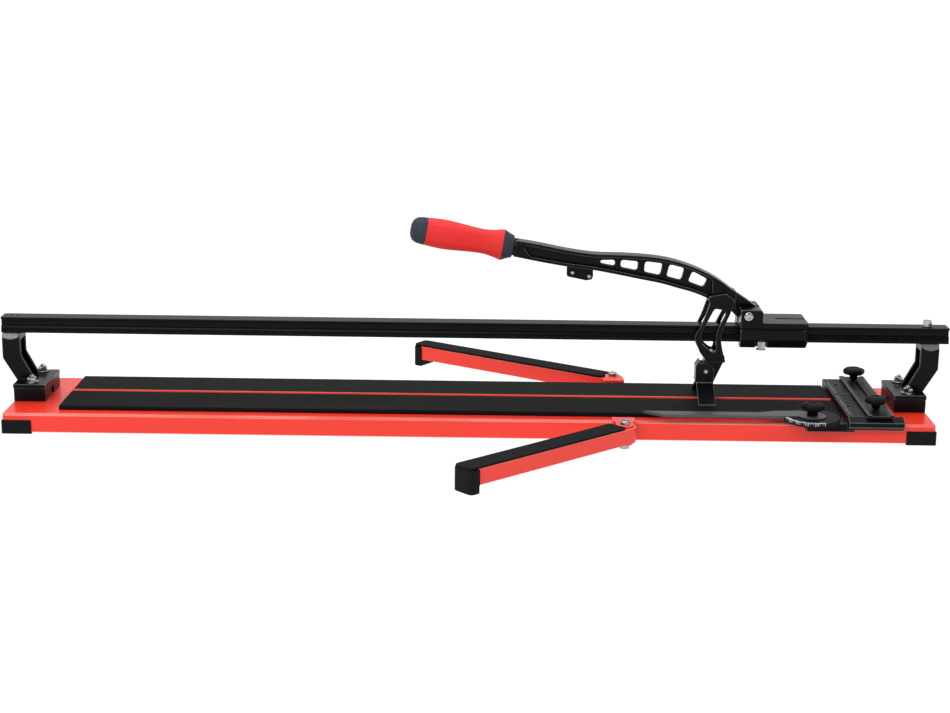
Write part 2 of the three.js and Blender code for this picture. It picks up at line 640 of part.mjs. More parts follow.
function handle() {
  const g0 = collarLength + gap;
  const g1 = collarLength + gripLength;
  const collar = [[0, 15], [0.8, 17.4], [8, 20], [collarLength, 24.4]];
  const grip = [[g0, 24.4], [g0 + 5, 23.6], [g0 + 16, 21], [g0 + 30, 19.4], [g0 + 45, 19.8], [g0 + 65, 21.4],
    [g0 + 85, 23], [g0 + 100, 23.2], [g1, 22]];
  const cap = [[g1 + gap, 22], [g1 + 8, 21.6], [g1 + 15, 20.4], [g1 + 20.5, 17.6], [g1 + 24, 13],
    [g1 + capLength, 7]];
  return [handlePiece("grip_collar", collar, tangRadius + gap, slatePlastic),
    handlePiece("lever_grip", grip, tangRadius + gap, gripRed),
    handlePiece("grip_cap", cap, 0, slatePlastic)];
}

const holderScrews = fromPivot([[-275.8, 61.6], [-249.8, 56.3]]);

function wheelHolder() {
  const outline = fromPivot([[-284.3, 70.8], [-284.3, 56], [-281.5, 54.6], [-254, 49], [-245.5, 50.5],
    [-243, 56], [-243.5, 65.8]]);
  const bores = holderScrews.map(([x, z]) => rodY(x, z, 2.2, lineY - 30, lineY + 1.5, 16));
  return piece("wheel_holder", cut(sidePlate(outline, lineY - 10, lineY + 10), ...bores), blackPlastic);
}

function holderScrew(name, [x, z], radius) {
  const face = lineY - 10 - gap;
  const body = join(rodY(x, z, radius, face - 2.4, face, 20), rodY(x, z, 1.9, face - 1, face + 10, 16));
  return piece(name, cut(body, rodY(x, z, radius / 2, face - 4, face - 1.2, 6)), zinc);
}

function yokeBolt() {
  const x = yokeBoltX;
  const z = yokeTop + gap;
  return piece("yoke_bolt", join(rodZ(x, lineY, 6.4, z, z + 1.2), hexZ(x, lineY, 10, z + 1.2, z + 5),
    rodZ(x, lineY, 2.5, yokeBottom + 3, z + 1)), zinc);
}

function cuttingWheel() {
  const half = wheelThick / 2;
  const points = [[2.8, -half], [wheelRadius - 1.6, -half], [wheelRadius, 0], [wheelRadius - 1.6, half],
    [2.8, half], [2.8, -half]].map(([r, h]) => new THREE.Vector2(r, h));
  const body = solid(new THREE.LatheGeometry(points, 48).translate(wheelX, lineY, wheelZ));
  return piece("cutting_wheel", body, wheelSteel);
}

function crossPin(name, x, z, radius, halfLength, headRadius) {
  const pin = rodY(x, z, radius, lineY - halfLength, lineY + halfLength, 20);
  const head = rodY(x, z, headRadius, lineY + halfLength - 0.5, lineY + halfLength + 2, 20);
  return piece(name, join(pin, head), zinc);
}

// ---------- breaker foot ----------
function breakerFoot() {
  const outer = earInner + footSheet;
  const left = footPinX - 16.5;
  const bend = footPinZ - 16.4;
  const wing = (side) => {
    const section = [[earInner, bend], [outer, bend], [outer, bend - 1.8], [wingReach, wingDrop + 2.4],
      [wingReach, wingDrop], [wingReach - 3.4, wingDrop], [earInner, bend - 3.8]];
    return runAlongX(section.map(([y, z]) => [lineY + side * y, z]), left + 2, left + 29);
  };
  const ear = (side) => sidePlate(fromPin([[-16.5, -17.4], [12.5, -17.4], [13.5, 0.6], [9.5, 9.6],
    [-0.5, 13.6], [-10.5, 13.6], [-16.5, 8.6]]),
  ...[lineY + side * earInner, lineY + side * outer].sort((a, b) => a - b));
  const bridge = sidePlate(fromPin([[-16.5, -13.4], [-13.9, -13.4], [-13.9, 7.6], [-8.5, 15.6],
    [-11, 17.1], [-16.5, 8.6]]), lineY - outer, lineY + outer);
  const bore = rodY(footPinX, footPinZ, pinRadius + gap, -60, 80);
  return piece("breaker_foot", cut(join(wing(-1), wing(1), ear(-1), ear(1), bridge), bore), blackCasting);
}

// ---------- swing-out support arms ----------
// Each arm is drawn along -X from its hinge, then turned to its rest angle.
function supportArm(label, hand, hingeY, length, angle) {
  const w = armWidth / 2;
  const arm = new THREE.Group();
  const shell = join(block(-length + 6.3, 0, -w, w, armBottom, armTop), rodZ(0, 0, w, armBottom, armTop, 36));
  const inner = w - armSheet;
  const inside = join(block(-length + 5.3, 0, -inner, inner, armBottom - 1, armTop - armSheet),
    rodZ(0, 0, inner, armBottom - 1, armTop - armSheet, 36));
  const tube = rodZ(0, 0, 8, armBottom, armTop - 1, 28);
  const bore = rodZ(0, 0, 5 + gap, 0, 60);
  arm.add(piece(`${label}_arm_channel`, cut(join(cut(shell, inside), tube), bore), redPaint));
  const z = armTop + gap;
  const stripOutline = rounded([[-length, -w], [-13, -w], [-13, w], [-length, w]], 8, 5);
  const strip = cut(flatPlate(stripOutline, z, padTop), rodZ(0, 0, 14, 0, 60, 36));
  arm.add(piece(`${label}_arm_rubber`, strip, blackRubber));
  const side = w + capWall;
  const middle = -length / 2;
  const capOutline = rounded([[-length, -side], [middle, -side], [middle, side], [-length, side]], 8, 5);
  const room = block(-length + 6, 0, -w - gap, w + gap, armBottom - gap, armTop + 1);
  const rest = block(-length + capReach, 0, -side - 1, side + 1, -1, armTop + 1);
  const cap = cut(flatPlate(capOutline, 0, armTop), room, rest);
  arm.add(piece(`${label}_arm_cap`, cap, blackRubber));
  arm.rotation.z = THREE.MathUtils.degToRad(-hand * angle);
  arm.position.set(armHingeX, hingeY, 0);
  return arm;
}

function armBracket(label, side, hingeY) {
  const near = side * (baseWidth / 2 + 0.4);
  const far = side * (Math.abs(hingeY) - armWidth / 2 - 2.5);
  const ys = [Math.min(near, far), Math.max(near, far)];
  const back = block(armHingeX - 17, armHingeX + 17, ys[0], ys[1], 8, armTop + 3.3);
  const reach = [Math.min(near, hingeY), Math.max(near, hingeY)];
  const flange = (z0, z1) => join(block(armHingeX - 13, armHingeX + 13, reach[0], reach[1], z0, z1),
    rodZ(armHingeX, hingeY, 13, z0, z1, 32));
  const bore = rodZ(armHingeX, hingeY, 5 + gap, 0, 60);
  const screw = rodX((near + far) / 2, 24, 2.5 + gap, armHingeX + 5, armHingeX + 20);
  const body = join(back, flange(8, armBottom - gap), flange(armTop + gap, armTop + 3.3));
  return piece(`${label}_arm_bracket`, cut(body, bore, screw), blackCasting);
}

function armHingeBolt(label, hingeY) {
  const top = armTop + 3.3 + gap;
  return piece(`${label}_hinge_bolt`, join(rodZ(armHingeX, hingeY, 7.6, top, top + 5.4, 28),
    rodZ(armHingeX, hingeY, 5, 3, top + 1), hexZ(armHingeX, hingeY, 15, 1.4, 8 - gap)), zinc);
}

function bracketScrew(label, side, hingeY) {
  const y = side * (baseWidth / 2 + 0.4 + Math.abs(hingeY) - armWidth / 2 - 2.5) / 2;
  const x = armHingeX + 17 + gap;
  const profile = [[0, -10], [2.5, -10], [2.5, 0], [5.6, 0], [5.2, 1.8], [3.6, 3.2], [0, 3.9]];
  const points = profile.map(([r, h]) => new THREE.Vector2(r, h));
  const geometry = new THREE.LatheGeometry(points, 20).rotateZ(-Math.PI / 2).translate(x, y, 24);
  return piece(`${label}_bracket_screw`, solid(geometry), zinc);
}

// ---------- assembly ----------
const cutter = new THREE.Group();
const frame = new THREE.Group();
frame.add(
  baseChannel(),
  breakingRidge(),
  bedPad("front_pad", padFront, lineY - padSlot / 2),
  bedPad("back_pad", lineY + padSlot / 2, padBack),
  cornerFoot("foot_front_left", -1, -1),
  cornerFoot("foot_front_right", 1, -1),
  cornerFoot("foot_back_left", -1, 1),
  cornerFoot("foot_back_right", 1, 1),
  spacerBlock("left_spacer", -1),
  spacerBlock("right_spacer", 1),
  pedestal("left_pedestal", -1),
  pedestal("right_pedestal", 1),
  pedestalBolt("left_bolt_front", -1, -1),
  pedestalBolt("left_bolt_back", -1, 1),
  pedestalBolt("right_bolt_front", 1, -1),
  pedestalBolt("right_bolt_back", 1, 1),
  rail(),
  railScrewLeft(),
  railBoltRight(),
  fencePlate(),
  fenceFrontBar(),
  guideSlide(),
  armBracket("front", -1, armFrontHingeY),
  armBracket("back", 1, armBackHingeY),
  armHingeBolt("front", armFrontHingeY),
  armHingeBolt("back", armBackHingeY),
  bracketScrew("front", -1, armFrontHingeY),
  bracketScrew("back", 1, armBackHingeY),
);

const stops = new THREE.Group();
const rulerFace = fenceTop + rulerThick + 2 * gap;
const rulerKnobTop = fenceTop + 23.4;
const barFace = barBottom + barThick + gap;
stops.add(
  stopRuler(),
  clampKnob("stop_knob_back", knobX, knobBackY, rulerFace, rulerKnobTop, 6, baseTop + 5.5),
  clampKnob("stop_knob_front", knobX, knobFrontY, rulerFace, rulerKnobTop, 6, baseTop + 5.5),
  angleBar(),
  protractorDisc(),
  clampKnob("guide_knob", guideX, guideY, barFace, barFace + 19.2, 8, discBottom - 4),
);

const carriage = new THREE.Group();
carriage.add(
  carriageBody(),
  glideStrip("glide_front", -1),
  glideStrip("glide_back", 1),
  carriageBolt(),
  pivotBolt(),
);

const lever = new THREE.Group();
lever.add(
  leverCasting(),
  ...handle(),
  wheelHolder(),
  holderScrew("holder_screw_left", holderScrews[0], 3.2),
  holderScrew("holder_screw_right", holderScrews[1], 4.2),
  yokeBolt(),
  cuttingWheel(),
  crossPin("wheel_axle", wheelX, wheelZ, 2.5, 8.8, 3.4),
  crossPin("foot_pin", footPinX, footPinZ, pinRadius, 12.4, 4.8),
  breakerFoot(),
);

cutter.add(frame, stops, carriage, lever);
cutter.add(supportArm("front", -1, armFrontHingeY, armFrontLength, armFrontAngle));
cutter.add(supportArm("back", 1, armBackHingeY, armBackLength, armBackAngle));

// The origin is the middle of the whole footprint, on the bench.
const extent = new THREE.Box3().setFromObject(cutter);
cutter.position.set(-(extent.min.x + extent.max.x) / 2, -(extent.min.y + extent.max.y) / 2, -extent.min.z);
cutter.updateMatrixWorld(true);

export default cutter;
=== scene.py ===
import math

import bmesh
import bpy
from mathutils import Matrix, Vector


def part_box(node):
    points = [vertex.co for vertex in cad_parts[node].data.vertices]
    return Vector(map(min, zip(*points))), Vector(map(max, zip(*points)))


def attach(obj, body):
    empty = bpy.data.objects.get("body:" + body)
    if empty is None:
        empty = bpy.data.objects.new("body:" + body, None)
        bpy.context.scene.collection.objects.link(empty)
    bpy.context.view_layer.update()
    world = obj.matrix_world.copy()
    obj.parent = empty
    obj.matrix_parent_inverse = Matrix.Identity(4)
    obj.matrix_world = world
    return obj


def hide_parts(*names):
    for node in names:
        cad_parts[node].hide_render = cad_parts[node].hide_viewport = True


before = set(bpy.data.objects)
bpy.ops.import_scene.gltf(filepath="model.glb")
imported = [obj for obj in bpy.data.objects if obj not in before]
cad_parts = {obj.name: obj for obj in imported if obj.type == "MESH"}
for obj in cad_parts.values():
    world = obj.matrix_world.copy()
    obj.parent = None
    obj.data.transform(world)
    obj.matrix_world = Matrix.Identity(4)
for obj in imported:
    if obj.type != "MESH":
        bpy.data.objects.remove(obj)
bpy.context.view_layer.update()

# ======== Point of view ========
# A long lens a little above the bench, square to the front of the cutter, so the
# bed fills the picture from end to end and its top shows as a narrow band.
VIEW_FROM = (0.0356, -2.7789, 0.7918)   # from the middle of the bed, and from the bench
VIEW_TURN = (0.551, 13.887, 0.590)      # degrees: to the left, downwards, tilt
VIEW_LENS = 68.14                       # mm
VIEW_FILM = 36.0                        # mm, the film's width
VIEW_REACH = (0.1, 60.0)                # nearest and farthest that is seen

turn, down, tilt = (math.radians(angle) for angle in VIEW_TURN)
lens = bpy.data.cameras.new("camera")
lens.lens = VIEW_LENS
lens.sensor_width = VIEW_FILM
lens.clip_start, lens.clip_end = VIEW_REACH
camera = bpy.data.objects.new("camera", lens)
bpy.context.collection.objects.link(camera)
bed_low, bed_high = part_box("base_channel")
bed_middle = (bed_low + bed_high) / 2
eye = Vector((bed_middle.x, bed_middle.y, 0.0)) + Vector(VIEW_FROM)
camera.matrix_world = (Matrix.Translation(eye) @ Matrix.Rotation(turn, 4, "Z")
                       @ Matrix.Rotation(math.pi / 2 - down, 4, "X")
                       @ Matrix.Rotation(tilt, 4, "Z"))
bpy.context.scene.camera = camera
bpy.context.scene.view_settings.view_transform = "Standard"

# ======== Studio ========
# A paper floor that runs out of sight and glows faintly, a white room that is darker
# behind the viewer, a broad soft lamp over the front left, a weak one from the right
# and one overhead.
FLOOR_SIZE = 30.0
FLOOR_PALE = (0.14, 0.14, 0.14, 1.0)
FLOOR_FLECK = (0.15, 0.15, 0.15, 1.0)
FLOOR_GLOW = 0.97
ROOM_WHITE = (1.0, 1.0, 1.0, 1.0)
ROOM_FRONT = (0.16, 0.16, 0.17, 1.0)    # dark side of the room, behind the viewer
ROOM_LIGHT = 0.75
ROOM_TURN = (-0.5, 0.35)                # where the dark side ends and the white begins
LAMPS = (
    # name, place, aimed at, width, height, watts
    ("key", (-1.1, -2.6, 2.1), (-0.1, 0.0, 0.05), 2.4, 1.4, 62.0),
    ("fill", (1.9, -1.6, 1.7), (0.4, 0.0, 0.1), 1.0, 1.0, 8.0),
    ("overhead", (0.0, 0.5, 2.6), (0.0, 0.0, 0.0), 3.0, 1.6, 42.0),
)


class Wire:
    """One output of a node; arithmetic on it adds Math nodes beside it."""

    def __init__(self, finish, socket):
        self.finish = finish
        self.socket = socket

    def maths(self, operation, first, second):
        return self.finish.node("Math", {"operation": operation}, {0: first, 1: second})

    def __add__(self, other):
        return self.maths("ADD", self, other)

    def __sub__(self, other):
        return self.maths("SUBTRACT", self, other)

    def __rsub__(self, other):
        return self.maths("SUBTRACT", other, self)

    def __mul__(self, other):
        return self.maths("MULTIPLY", self, other)

    __radd__ = __add__
    __rmul__ = __mul__


class Finish:
    """The nodes of one material, or of the room."""

    def __init__(self, owner):
        owner.use_nodes = True
        self.owner = owner
        self.tree = owner.node_tree
        self.shader = self.tree.nodes.get("Principled BSDF")

    def feed(self, socket, value):
        if isinstance(value, Wire):
            self.tree.links.new(value.socket, socket)
        else:
            socket.default_value = value

    def node(self, kind, settings=None, sockets=None, take=0):
        """Adds a node: its settings first, then what its sockets hold or are fed."""
        made = self.tree.nodes.new("ShaderNode" + kind)
        for key, value in (settings or {}).items():
            if key == "stops":
                ramp = made.color_ramp.elements
                while len(ramp) < len(value):
                    ramp.new(1.0)
                for element, (place, shade) in zip(ramp, value):
                    element.position = place
                    element.color = shade
            else:
                setattr(made, key, value)
        for key, value in (sockets or {}).items():
            self.feed(made.inputs[key], value)
        return Wire(self, made.outputs[take])

    def mix(self, share, first, second):
        """Blends two colours: first where share is 0, second where it is 1."""
        return self.node("Mix", {"data_type": "RGBA"}, {0: share, 6: first, 7: second}, take=2)

    def surface(self, **sockets):
        for key, value in sockets.items():
            self.feed(self.shader.inputs[key.replace("_", " ")], value)
        return self.owner


room = bpy.data.worlds.new("room")
bpy.context.scene.world = room
walls = Finish(room)
direction = walls.node("SeparateXYZ", None, {0: walls.node("TexCoord", take="Generated")}, take=1)
shade = walls.node("MapRange", {"interpolation_type": "SMOOTHSTEP"},
                   {0: direction, 1: ROOM_TURN[0], 2: ROOM_TURN[1]})
lit = walls.node("Background", None,
                 {0: walls.mix(shade, ROOM_FRONT, ROOM_WHITE), 1: ROOM_LIGHT})
seen = walls.node("Background", None, {0: ROOM_WHITE, 1: 1.0})
from_lens = walls.node("LightPath", take="Is Camera Ray")
both = walls.node("MixShader", None, {0: from_lens, 1: lit, 2: seen})
walls.feed(walls.tree.nodes["World Output"].inputs["Surface"], both)

paper_sheet = bmesh.new()
bmesh.ops.create_grid(paper_sheet, x_segments=8, y_segments=8, size=FLOOR_SIZE / 2)
paper_mesh = bpy.data.meshes.new("floor")
paper_sheet.to_mesh(paper_mesh)
paper_sheet.free()
floor = bpy.data.objects.new("floor", paper_mesh)
bpy.context.collection.objects.link(floor)
paper = Finish(bpy.data.materials.new("paper"))
fleck = paper.node("TexNoise", None, {"Scale": 40.0, "Detail": 3.0})
floor.data.materials.append(paper.surface(
    Base_Color=paper.mix(fleck, FLOOR_PALE, FLOOR_FLECK),
    Roughness=0.9,
    Emission_Color=ROOM_WHITE,
    Emission_Strength=FLOOR_GLOW,
    Specular_IOR_Level=0.0,
))

for name, place, target, width, height, watts in LAMPS:
    light = bpy.data.lights.new(name, "AREA")
    light.shape = "RECTANGLE"
    light.size, light.size_y, light.energy = width, height, watts
    lamp = bpy.data.objects.new(name, light)
    bpy.context.collection.objects.link(lamp)
    aim = (Vector(target) - Vector(place)).to_track_quat("-Z", "Y")
    lamp.matrix_world = Matrix.Translation(place) @ aim.to_matrix().to_4x4()

# ======== Bed ========
# One sheet of steel folded down along the front and back and closed at the ends,
# powder coated red. The coat is glossy, with a fine orange-peel skin.
RED = (0.92, 0.042, 0.022, 1.0)
RED_DEEP = (0.83, 0.032, 0.017, 1.0)
RED_PAINTED_HIGHLIGHT = (1.0, 0.40, 0.33, 1.0)       # painted highlight on the rounded folds and edges
BED_EDGE = 0.0011
SAME_POINT = 2e-6                       # corners closer than this are one
FLAT_WITHIN = 0.6                       # degrees between faces that count as one flat


def placed(name, skin):
    """A new object in the scene, with a skin's mesh."""
    mesh = bpy.data.meshes.new(name)
    skin.to_mesh(mesh)
    skin.free()
    made = bpy.data.objects.new(name, mesh)
    bpy.context.collection.objects.link(made)
    return made


def copied(node, name):
    """A new object with its own copy of a CAD node's mesh, its coplanar faces merged."""
    sheet = bmesh.new()
    sheet.from_mesh(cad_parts[node].data)
    bmesh.ops.remove_doubles(sheet, verts=sheet.verts, dist=SAME_POINT)
    bmesh.ops.dissolve_limit(sheet, angle_limit=math.radians(FLAT_WITHIN), verts=sheet.verts,
                             edges=sheet.edges)
    return placed(name, sheet)


def settled(made, sharp=35.0):
    """Applies a piece's modifiers; its edges stay crisp above the sharp angle."""
    bpy.context.view_layer.update()
    graph = bpy.context.evaluated_depsgraph_get()
    mesh = bpy.data.meshes.new_from_object(made.evaluated_get(graph))
    made.modifiers.clear()
    made.data = mesh
    if sharp is not None:
        mesh.shade_smooth()
        mesh.set_sharp_from_angle(angle=math.radians(sharp))
    return made


def eased(node, name, radius, steps=2, corner=25.0):
    """A CAD node's shape with every corner rounded off by radius, its flats kept flat.

    It has two places for a finish: the first for the faces, the next for the edges."""
    made = copied(node, name)
    for _ in range(2):
        made.data.materials.append(None)
    made.data.shade_smooth()
    rounding = made.modifiers.new("rounding", "BEVEL")
    rounding.width = radius
    rounding.segments = steps
    rounding.limit_method = "ANGLE"
    rounding.angle_limit = math.radians(corner)
    rounding.use_clamp_overlap = False
    rounding.miter_outer = "MITER_ARC"
    rounding.material = 1
    flats = made.modifiers.new("flats", "WEIGHTED_NORMAL")
    flats.weight = 100
    flats.mode = "FACE_AREA"
    return settled(made, sharp=None)


def fitted(made, coat, body, slot, *nodes):
    """Gives a piece its finish, hangs it on the body that carries it and hides the CAD nodes it
    stands for.

    Coat is one material, or a pair: the faces and the rounded edges."""
    faces, edges = coat if isinstance(coat, tuple) else (coat, coat)
    if made.data.materials:
        made.data.materials[0], made.data.materials[1] = faces, edges
    else:
        made.data.materials.append(faces)
    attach(made, body)
    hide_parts(*nodes)
    return made


def powder_coat(name, light, deep, gloss=0.24):
    """Baked powder paint: a slow drift of colour and a rippled gloss."""
    coat = Finish(bpy.data.materials.new(name))
    place = coat.node("TexCoord", take="Object")
    drift = coat.node("TexNoise", None, {0: place, "Scale": 7.0, "Detail": 3.0})
    peel = coat.node("TexNoise", None, {0: place, "Scale": 620.0, "Detail": 2.0})
    dust = coat.node("TexNoise", None, {0: place, "Scale": 90.0, "Detail": 8.0, "Roughness": 0.7})
    skin = coat.node("Bump", None, {"Strength": 0.12, "Distance": 0.0003, "Height": peel})
    return coat.surface(
        Base_Color=coat.mix(drift, deep, light),
        Roughness=gloss + dust * 0.18,
        Specular_IOR_Level=0.35,
        Normal=skin,
        Coat_Weight=0.12,
        Coat_Roughness=0.12,
    )


# The second finish, a paler red on the rounded folds and edges, is a painted highlight.
red_coat_and_edge_highlight = (powder_coat("red_powder_coat", RED, RED_DEEP),
            powder_coat("red_fold_painted_highlight", RED_PAINTED_HIGHLIGHT, RED, gloss=0.16))
fitted(eased("base_channel", "bed_sheet", BED_EDGE, steps=3, corner=18.0),
       red_coat_and_edge_highlight, "frame", "red_paint", "base_channel")

# ======== Breaking ridge ========
# A thin folded rib of the same red steel, spot welded along the cutting line, over
# which the scored tile is snapped.
fitted(eased("breaking_ridge", "breaking_rib", 0.0004), red_coat_and_edge_highlight, "frame", "red_paint",
       "breaking_ridge")

# ======== Bed pads ========
# Two strips of dense black rubber glued to the bed on both sides of the rib. The
# moulded face has a fine lengthwise rib and a dry bloom.
PAD_BLACK = (0.0040, 0.0042, 0.0047, 1.0)
PAD_BLOOM = (0.0090, 0.0092, 0.0098, 1.0)
RIB_PITCH = 0.0016


def ribbed_rubber(name):
    """Moulded rubber with ribs that run along X."""
    coat = Finish(bpy.data.materials.new(name))
    place = coat.node("TexCoord", take="Object")
    across = coat.node("SeparateXYZ", None, {0: place}, take="Y")
    wave = coat.node("Math", {"operation": "SINE"}, {0: across * (2 * math.pi / RIB_PITCH)})
    grain = coat.node("TexNoise", None, {0: place, "Scale": 1500.0, "Detail": 3.0})
    bloom = coat.node("TexNoise", None, {0: place, "Scale": 14.0, "Detail": 6.0, "Roughness": 0.6})
    relief = wave * 0.3 + grain
    return coat.surface(
        Base_Color=coat.mix(bloom, PAD_BLACK, PAD_BLOOM),
        Roughness=0.62 + bloom * 0.2,
        Normal=coat.node("Bump", None, {"Strength": 0.35, "Distance": 0.0002, "Height": relief}),
        Specular_IOR_Level=0.08,
    )


pad_rubber = ribbed_rubber("ribbed_rubber")
for side in ("front", "back"):
    fitted(eased(f"{side}_pad", f"{side}_pad_strip", 0.0007, steps=3), pad_rubber, "frame",
           "pad_rubber", f"{side}_pad")

# ======== Corner feet ========
# Moulded rubber caps pushed over the four corners of the bed, with a plug inside the
# fold and a soft radius on every outside edge.
FOOT_BLACK = (0.0040, 0.0044, 0.0050, 1.0)
FOOT_WORN = (0.0110, 0.0115, 0.0128, 1.0)


def moulded(name, dark, pale, roughness, grain_scale, depth, shine=0.08):
    """A moulded skin: spark-eroded grain with a slightly uneven tone."""
    coat = Finish(bpy.data.materials.new(name))
    place = coat.node("TexCoord", take="Object")
    grain = coat.node("TexNoise", None, {0: place, "Scale": grain_scale, "Detail": 4.0})
    tone = coat.node("TexNoise", None, {0: place, "Scale": 38.0, "Detail": 6.0, "Roughness": 0.65})
    return coat.surface(
        Base_Color=coat.mix(tone, dark, pale),
        Roughness=roughness + tone * 0.18,
        Normal=coat.node("Bump", None, {"Strength": 0.3, "Distance": depth, "Height": grain}),
        Specular_IOR_Level=shine,
    )


foot_rubber = moulded("foot_rubber", FOOT_BLACK, FOOT_WORN,
                      roughness=0.55, grain_scale=1300.0, depth=0.0002)
for corner in ("front_left", "front_right", "back_left", "back_right"):
    fitted(eased(f"foot_{corner}", f"corner_foot_{corner}", 0.0009), foot_rubber, "frame",
           "black_rubber", f"foot_{corner}")

# ======== Pedestals ========
# Aluminium castings in black gloss paint, each on a moulded spacer block. The rail
# sits on a milled pad, and the cutter has left a bright scooped patch below it.
CAST_BLACK = (0.0014, 0.0016, 0.0019, 1.0)
CAST_PALE = (0.0042, 0.0046, 0.0052, 1.0)
BARE_METAL = (0.23, 0.235, 0.245, 1.0)
MILLED_DARK = (0.13, 0.135, 0.14, 1.0)
EDGE_PAINTED_HIGHLIGHT = (0.26, 0.27, 0.285, 1.0)    # painted highlight along the convex edges
SPACER_BLACK = (0.0022, 0.0021, 0.0022, 1.0)
SPACER_PALE = (0.0065, 0.0062, 0.0065, 1.0)
SCOOP_FROM_END = 0.0135                 # its middle, from the pedestal's outer end
SCOOP_DROP = 0.0098                     # its highest point, from the pedestal's top
SCOOP_DEPTH = 0.0135                    # only in front of this, from the middle
SCOOP_CURVE = 26.0


def cast(node, name, voxel=0.0010, passes=4):
    """A CAD node's shape as a casting: all its edges and inside corners run soft."""
    made = copied(node, name)
    skin = made.modifiers.new("skin", "REMESH")
    skin.mode = "VOXEL"
    skin.voxel_size = voxel
    soft = made.modifiers.new("soft", "SMOOTH")
    soft.factor = 0.5
    soft.iterations = passes
    return settled(made, sharp=60.0)


def black_paint(name, dark, pale, patch=None, painted_edge_highlight=True):
    """Black stove enamel over a casting, by default with a painted highlight along its convex
    edges. Patch says where the bare metal shows.
    """
    coat = Finish(bpy.data.materials.new(name))
    place = coat.node("TexCoord", take="Object")
    flow = coat.node("TexNoise", None, {0: place, "Scale": 260.0, "Detail": 3.0})
    dust = coat.node("TexNoise", None, {0: place, "Scale": 55.0, "Detail": 8.0, "Roughness": 0.7})
    colour = coat.mix(dust, dark, pale)
    if painted_edge_highlight:
        # Painted highlight: a paler grey where the pointiness marks a convex edge.
        edge_highlight_mask = coat.node("MapRange", {"interpolation_type": "SMOOTHSTEP"},
                         {0: coat.node("NewGeometry", take="Pointiness"), 1: 0.515, 2: 0.58})
        colour = coat.mix(edge_highlight_mask, colour, EDGE_PAINTED_HIGHLIGHT)
    roughness = 0.13 + dust * 0.16
    metal = 0.0
    relief = flow
    if patch:
        bare, colour, metal, relief = patch(coat, place, colour, flow)
        roughness = roughness + bare * 0.12
    return coat.surface(
        Base_Color=colour,
        Roughness=roughness,
        Metallic=metal,
        Normal=coat.node("Bump", None, {"Strength": 0.2, "Distance": 0.0004, "Height": relief}),
        Specular_IOR_Level=0.1,
    )


def milled_scoop(coat, place, colour, flow):
    """Bare metal above an arc on the front of the pedestal, with the mill's marks."""
    low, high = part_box("right_pedestal")
    x, y, z = (coat.node("SeparateXYZ", None, {0: place}, take=axis) for axis in "XYZ")
    middle_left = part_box("left_pedestal")[0].x + SCOOP_FROM_END
    middle_right = high.x - SCOOP_FROM_END
    away = coat.node("Math", {"operation": "MINIMUM"}, {
        0: coat.node("Math", {"operation": "ABSOLUTE"}, {0: x - middle_left}),
        1: coat.node("Math", {"operation": "ABSOLUTE"}, {0: x - middle_right}),
    })
    arc = z - (high.z - SCOOP_DROP) - (away * away) * SCOOP_CURVE
    front = (low.y + high.y) / 2 - SCOOP_DEPTH
    facing = coat.node("Math", {"operation": "LESS_THAN"}, {0: y, 1: front})
    bare = facing * coat.node("Math", {"operation": "GREATER_THAN"}, {0: arc, 1: 0.0})
    marks = coat.node("TexWave", {"bands_direction": "DIAGONAL"},
                      {0: place, "Scale": 300.0, "Distortion": 6.0, "Detail": 3.0})
    milled = coat.mix(marks, MILLED_DARK, BARE_METAL)
    relief = coat.node("Mix", {"data_type": "FLOAT"}, {0: bare, 2: flow, 3: marks})
    return bare, coat.mix(bare, colour, milled), bare * 0.5, relief


# Both enamels carry the painted highlight on their convex edges.
enamel = black_paint("black_enamel", CAST_BLACK, CAST_PALE)
pedestal_enamel = black_paint("pedestal_enamel", CAST_BLACK, CAST_PALE, milled_scoop)
block_plastic = moulded("spacer_plastic", SPACER_BLACK, SPACER_PALE,
                        roughness=0.2, grain_scale=900.0, depth=0.00015)
for side in ("left", "right"):
    fitted(cast(f"{side}_pedestal", f"{side}_pedestal_casting"), pedestal_enamel, "frame",
           "black_casting", f"{side}_pedestal")
    fitted(eased(f"{side}_spacer", f"{side}_spacer_block", 0.0007), block_plastic, "frame",
           "black_plastic", f"{side}_spacer")

# ======== Pedestal nuts and rail bolts ========
# Zinc plated M8 bolts come up through the bed and end in a washer and nut. The rail
# is held by a countersunk socket screw at one end and a hexagon bolt at the other.
ZINC = (0.50, 0.51, 0.525, 1.0)
ZINC_DULL = (0.28, 0.29, 0.30, 1.0)
M8_RADIUS = 4                           # mm, like every size in a turned piece
M8_FLATS = 13
M8_PITCH = 1.25
AROUND = 48                             # sides of a turned piece
CHAMFER_SLOPE = 0.577                   # of the 30 degree cone


def lofted(rings):
    """A closed skin through rings of equally many points, with a flat cap at each end."""
    skin = bmesh.new()
    loops = [[skin.verts.new(point) for point in ring] for ring in rings]
    for lower, upper in zip(loops, loops[1:]):
        for i, (a, b) in enumerate(zip(lower, upper)):
            j = (i + 1) % len(lower)
            skin.faces.new((a, lower[j], upper[j], b))
    skin.faces.new(loops[0][::-1])
    skin.faces.new(loops[-1])
    bmesh.ops.recalc_face_normals(skin, faces=skin.faces)
    return skin


def ring(radius, height, steps=AROUND):
    """A ring about Z; radius and height, in mm, are numbers or functions of the angle."""
    points = []
    for step in range(steps):
        angle = 2 * math.pi * step / steps
        reach = radius(angle) if callable(radius) else radius
        points.append(Vector((reach * math.cos(angle), reach * math.sin(angle),
                              height(angle) if callable(height) else height)) / 1000)
    return points


def turned(profile, steps=AROUND):
    """A solid turned about Z from (radius, height) pairs."""
    return lofted([ring(radius, height, steps) for radius, height in profile])


def six_sided(flats):
    """The distance out to a hexagon, as a function of the angle; flats is its width."""
    def reach(angle):
        turn = (angle + math.pi / 6) % (math.pi / 3) - math.pi / 6
        return flats / 2 / math.cos(turn)
    return reach


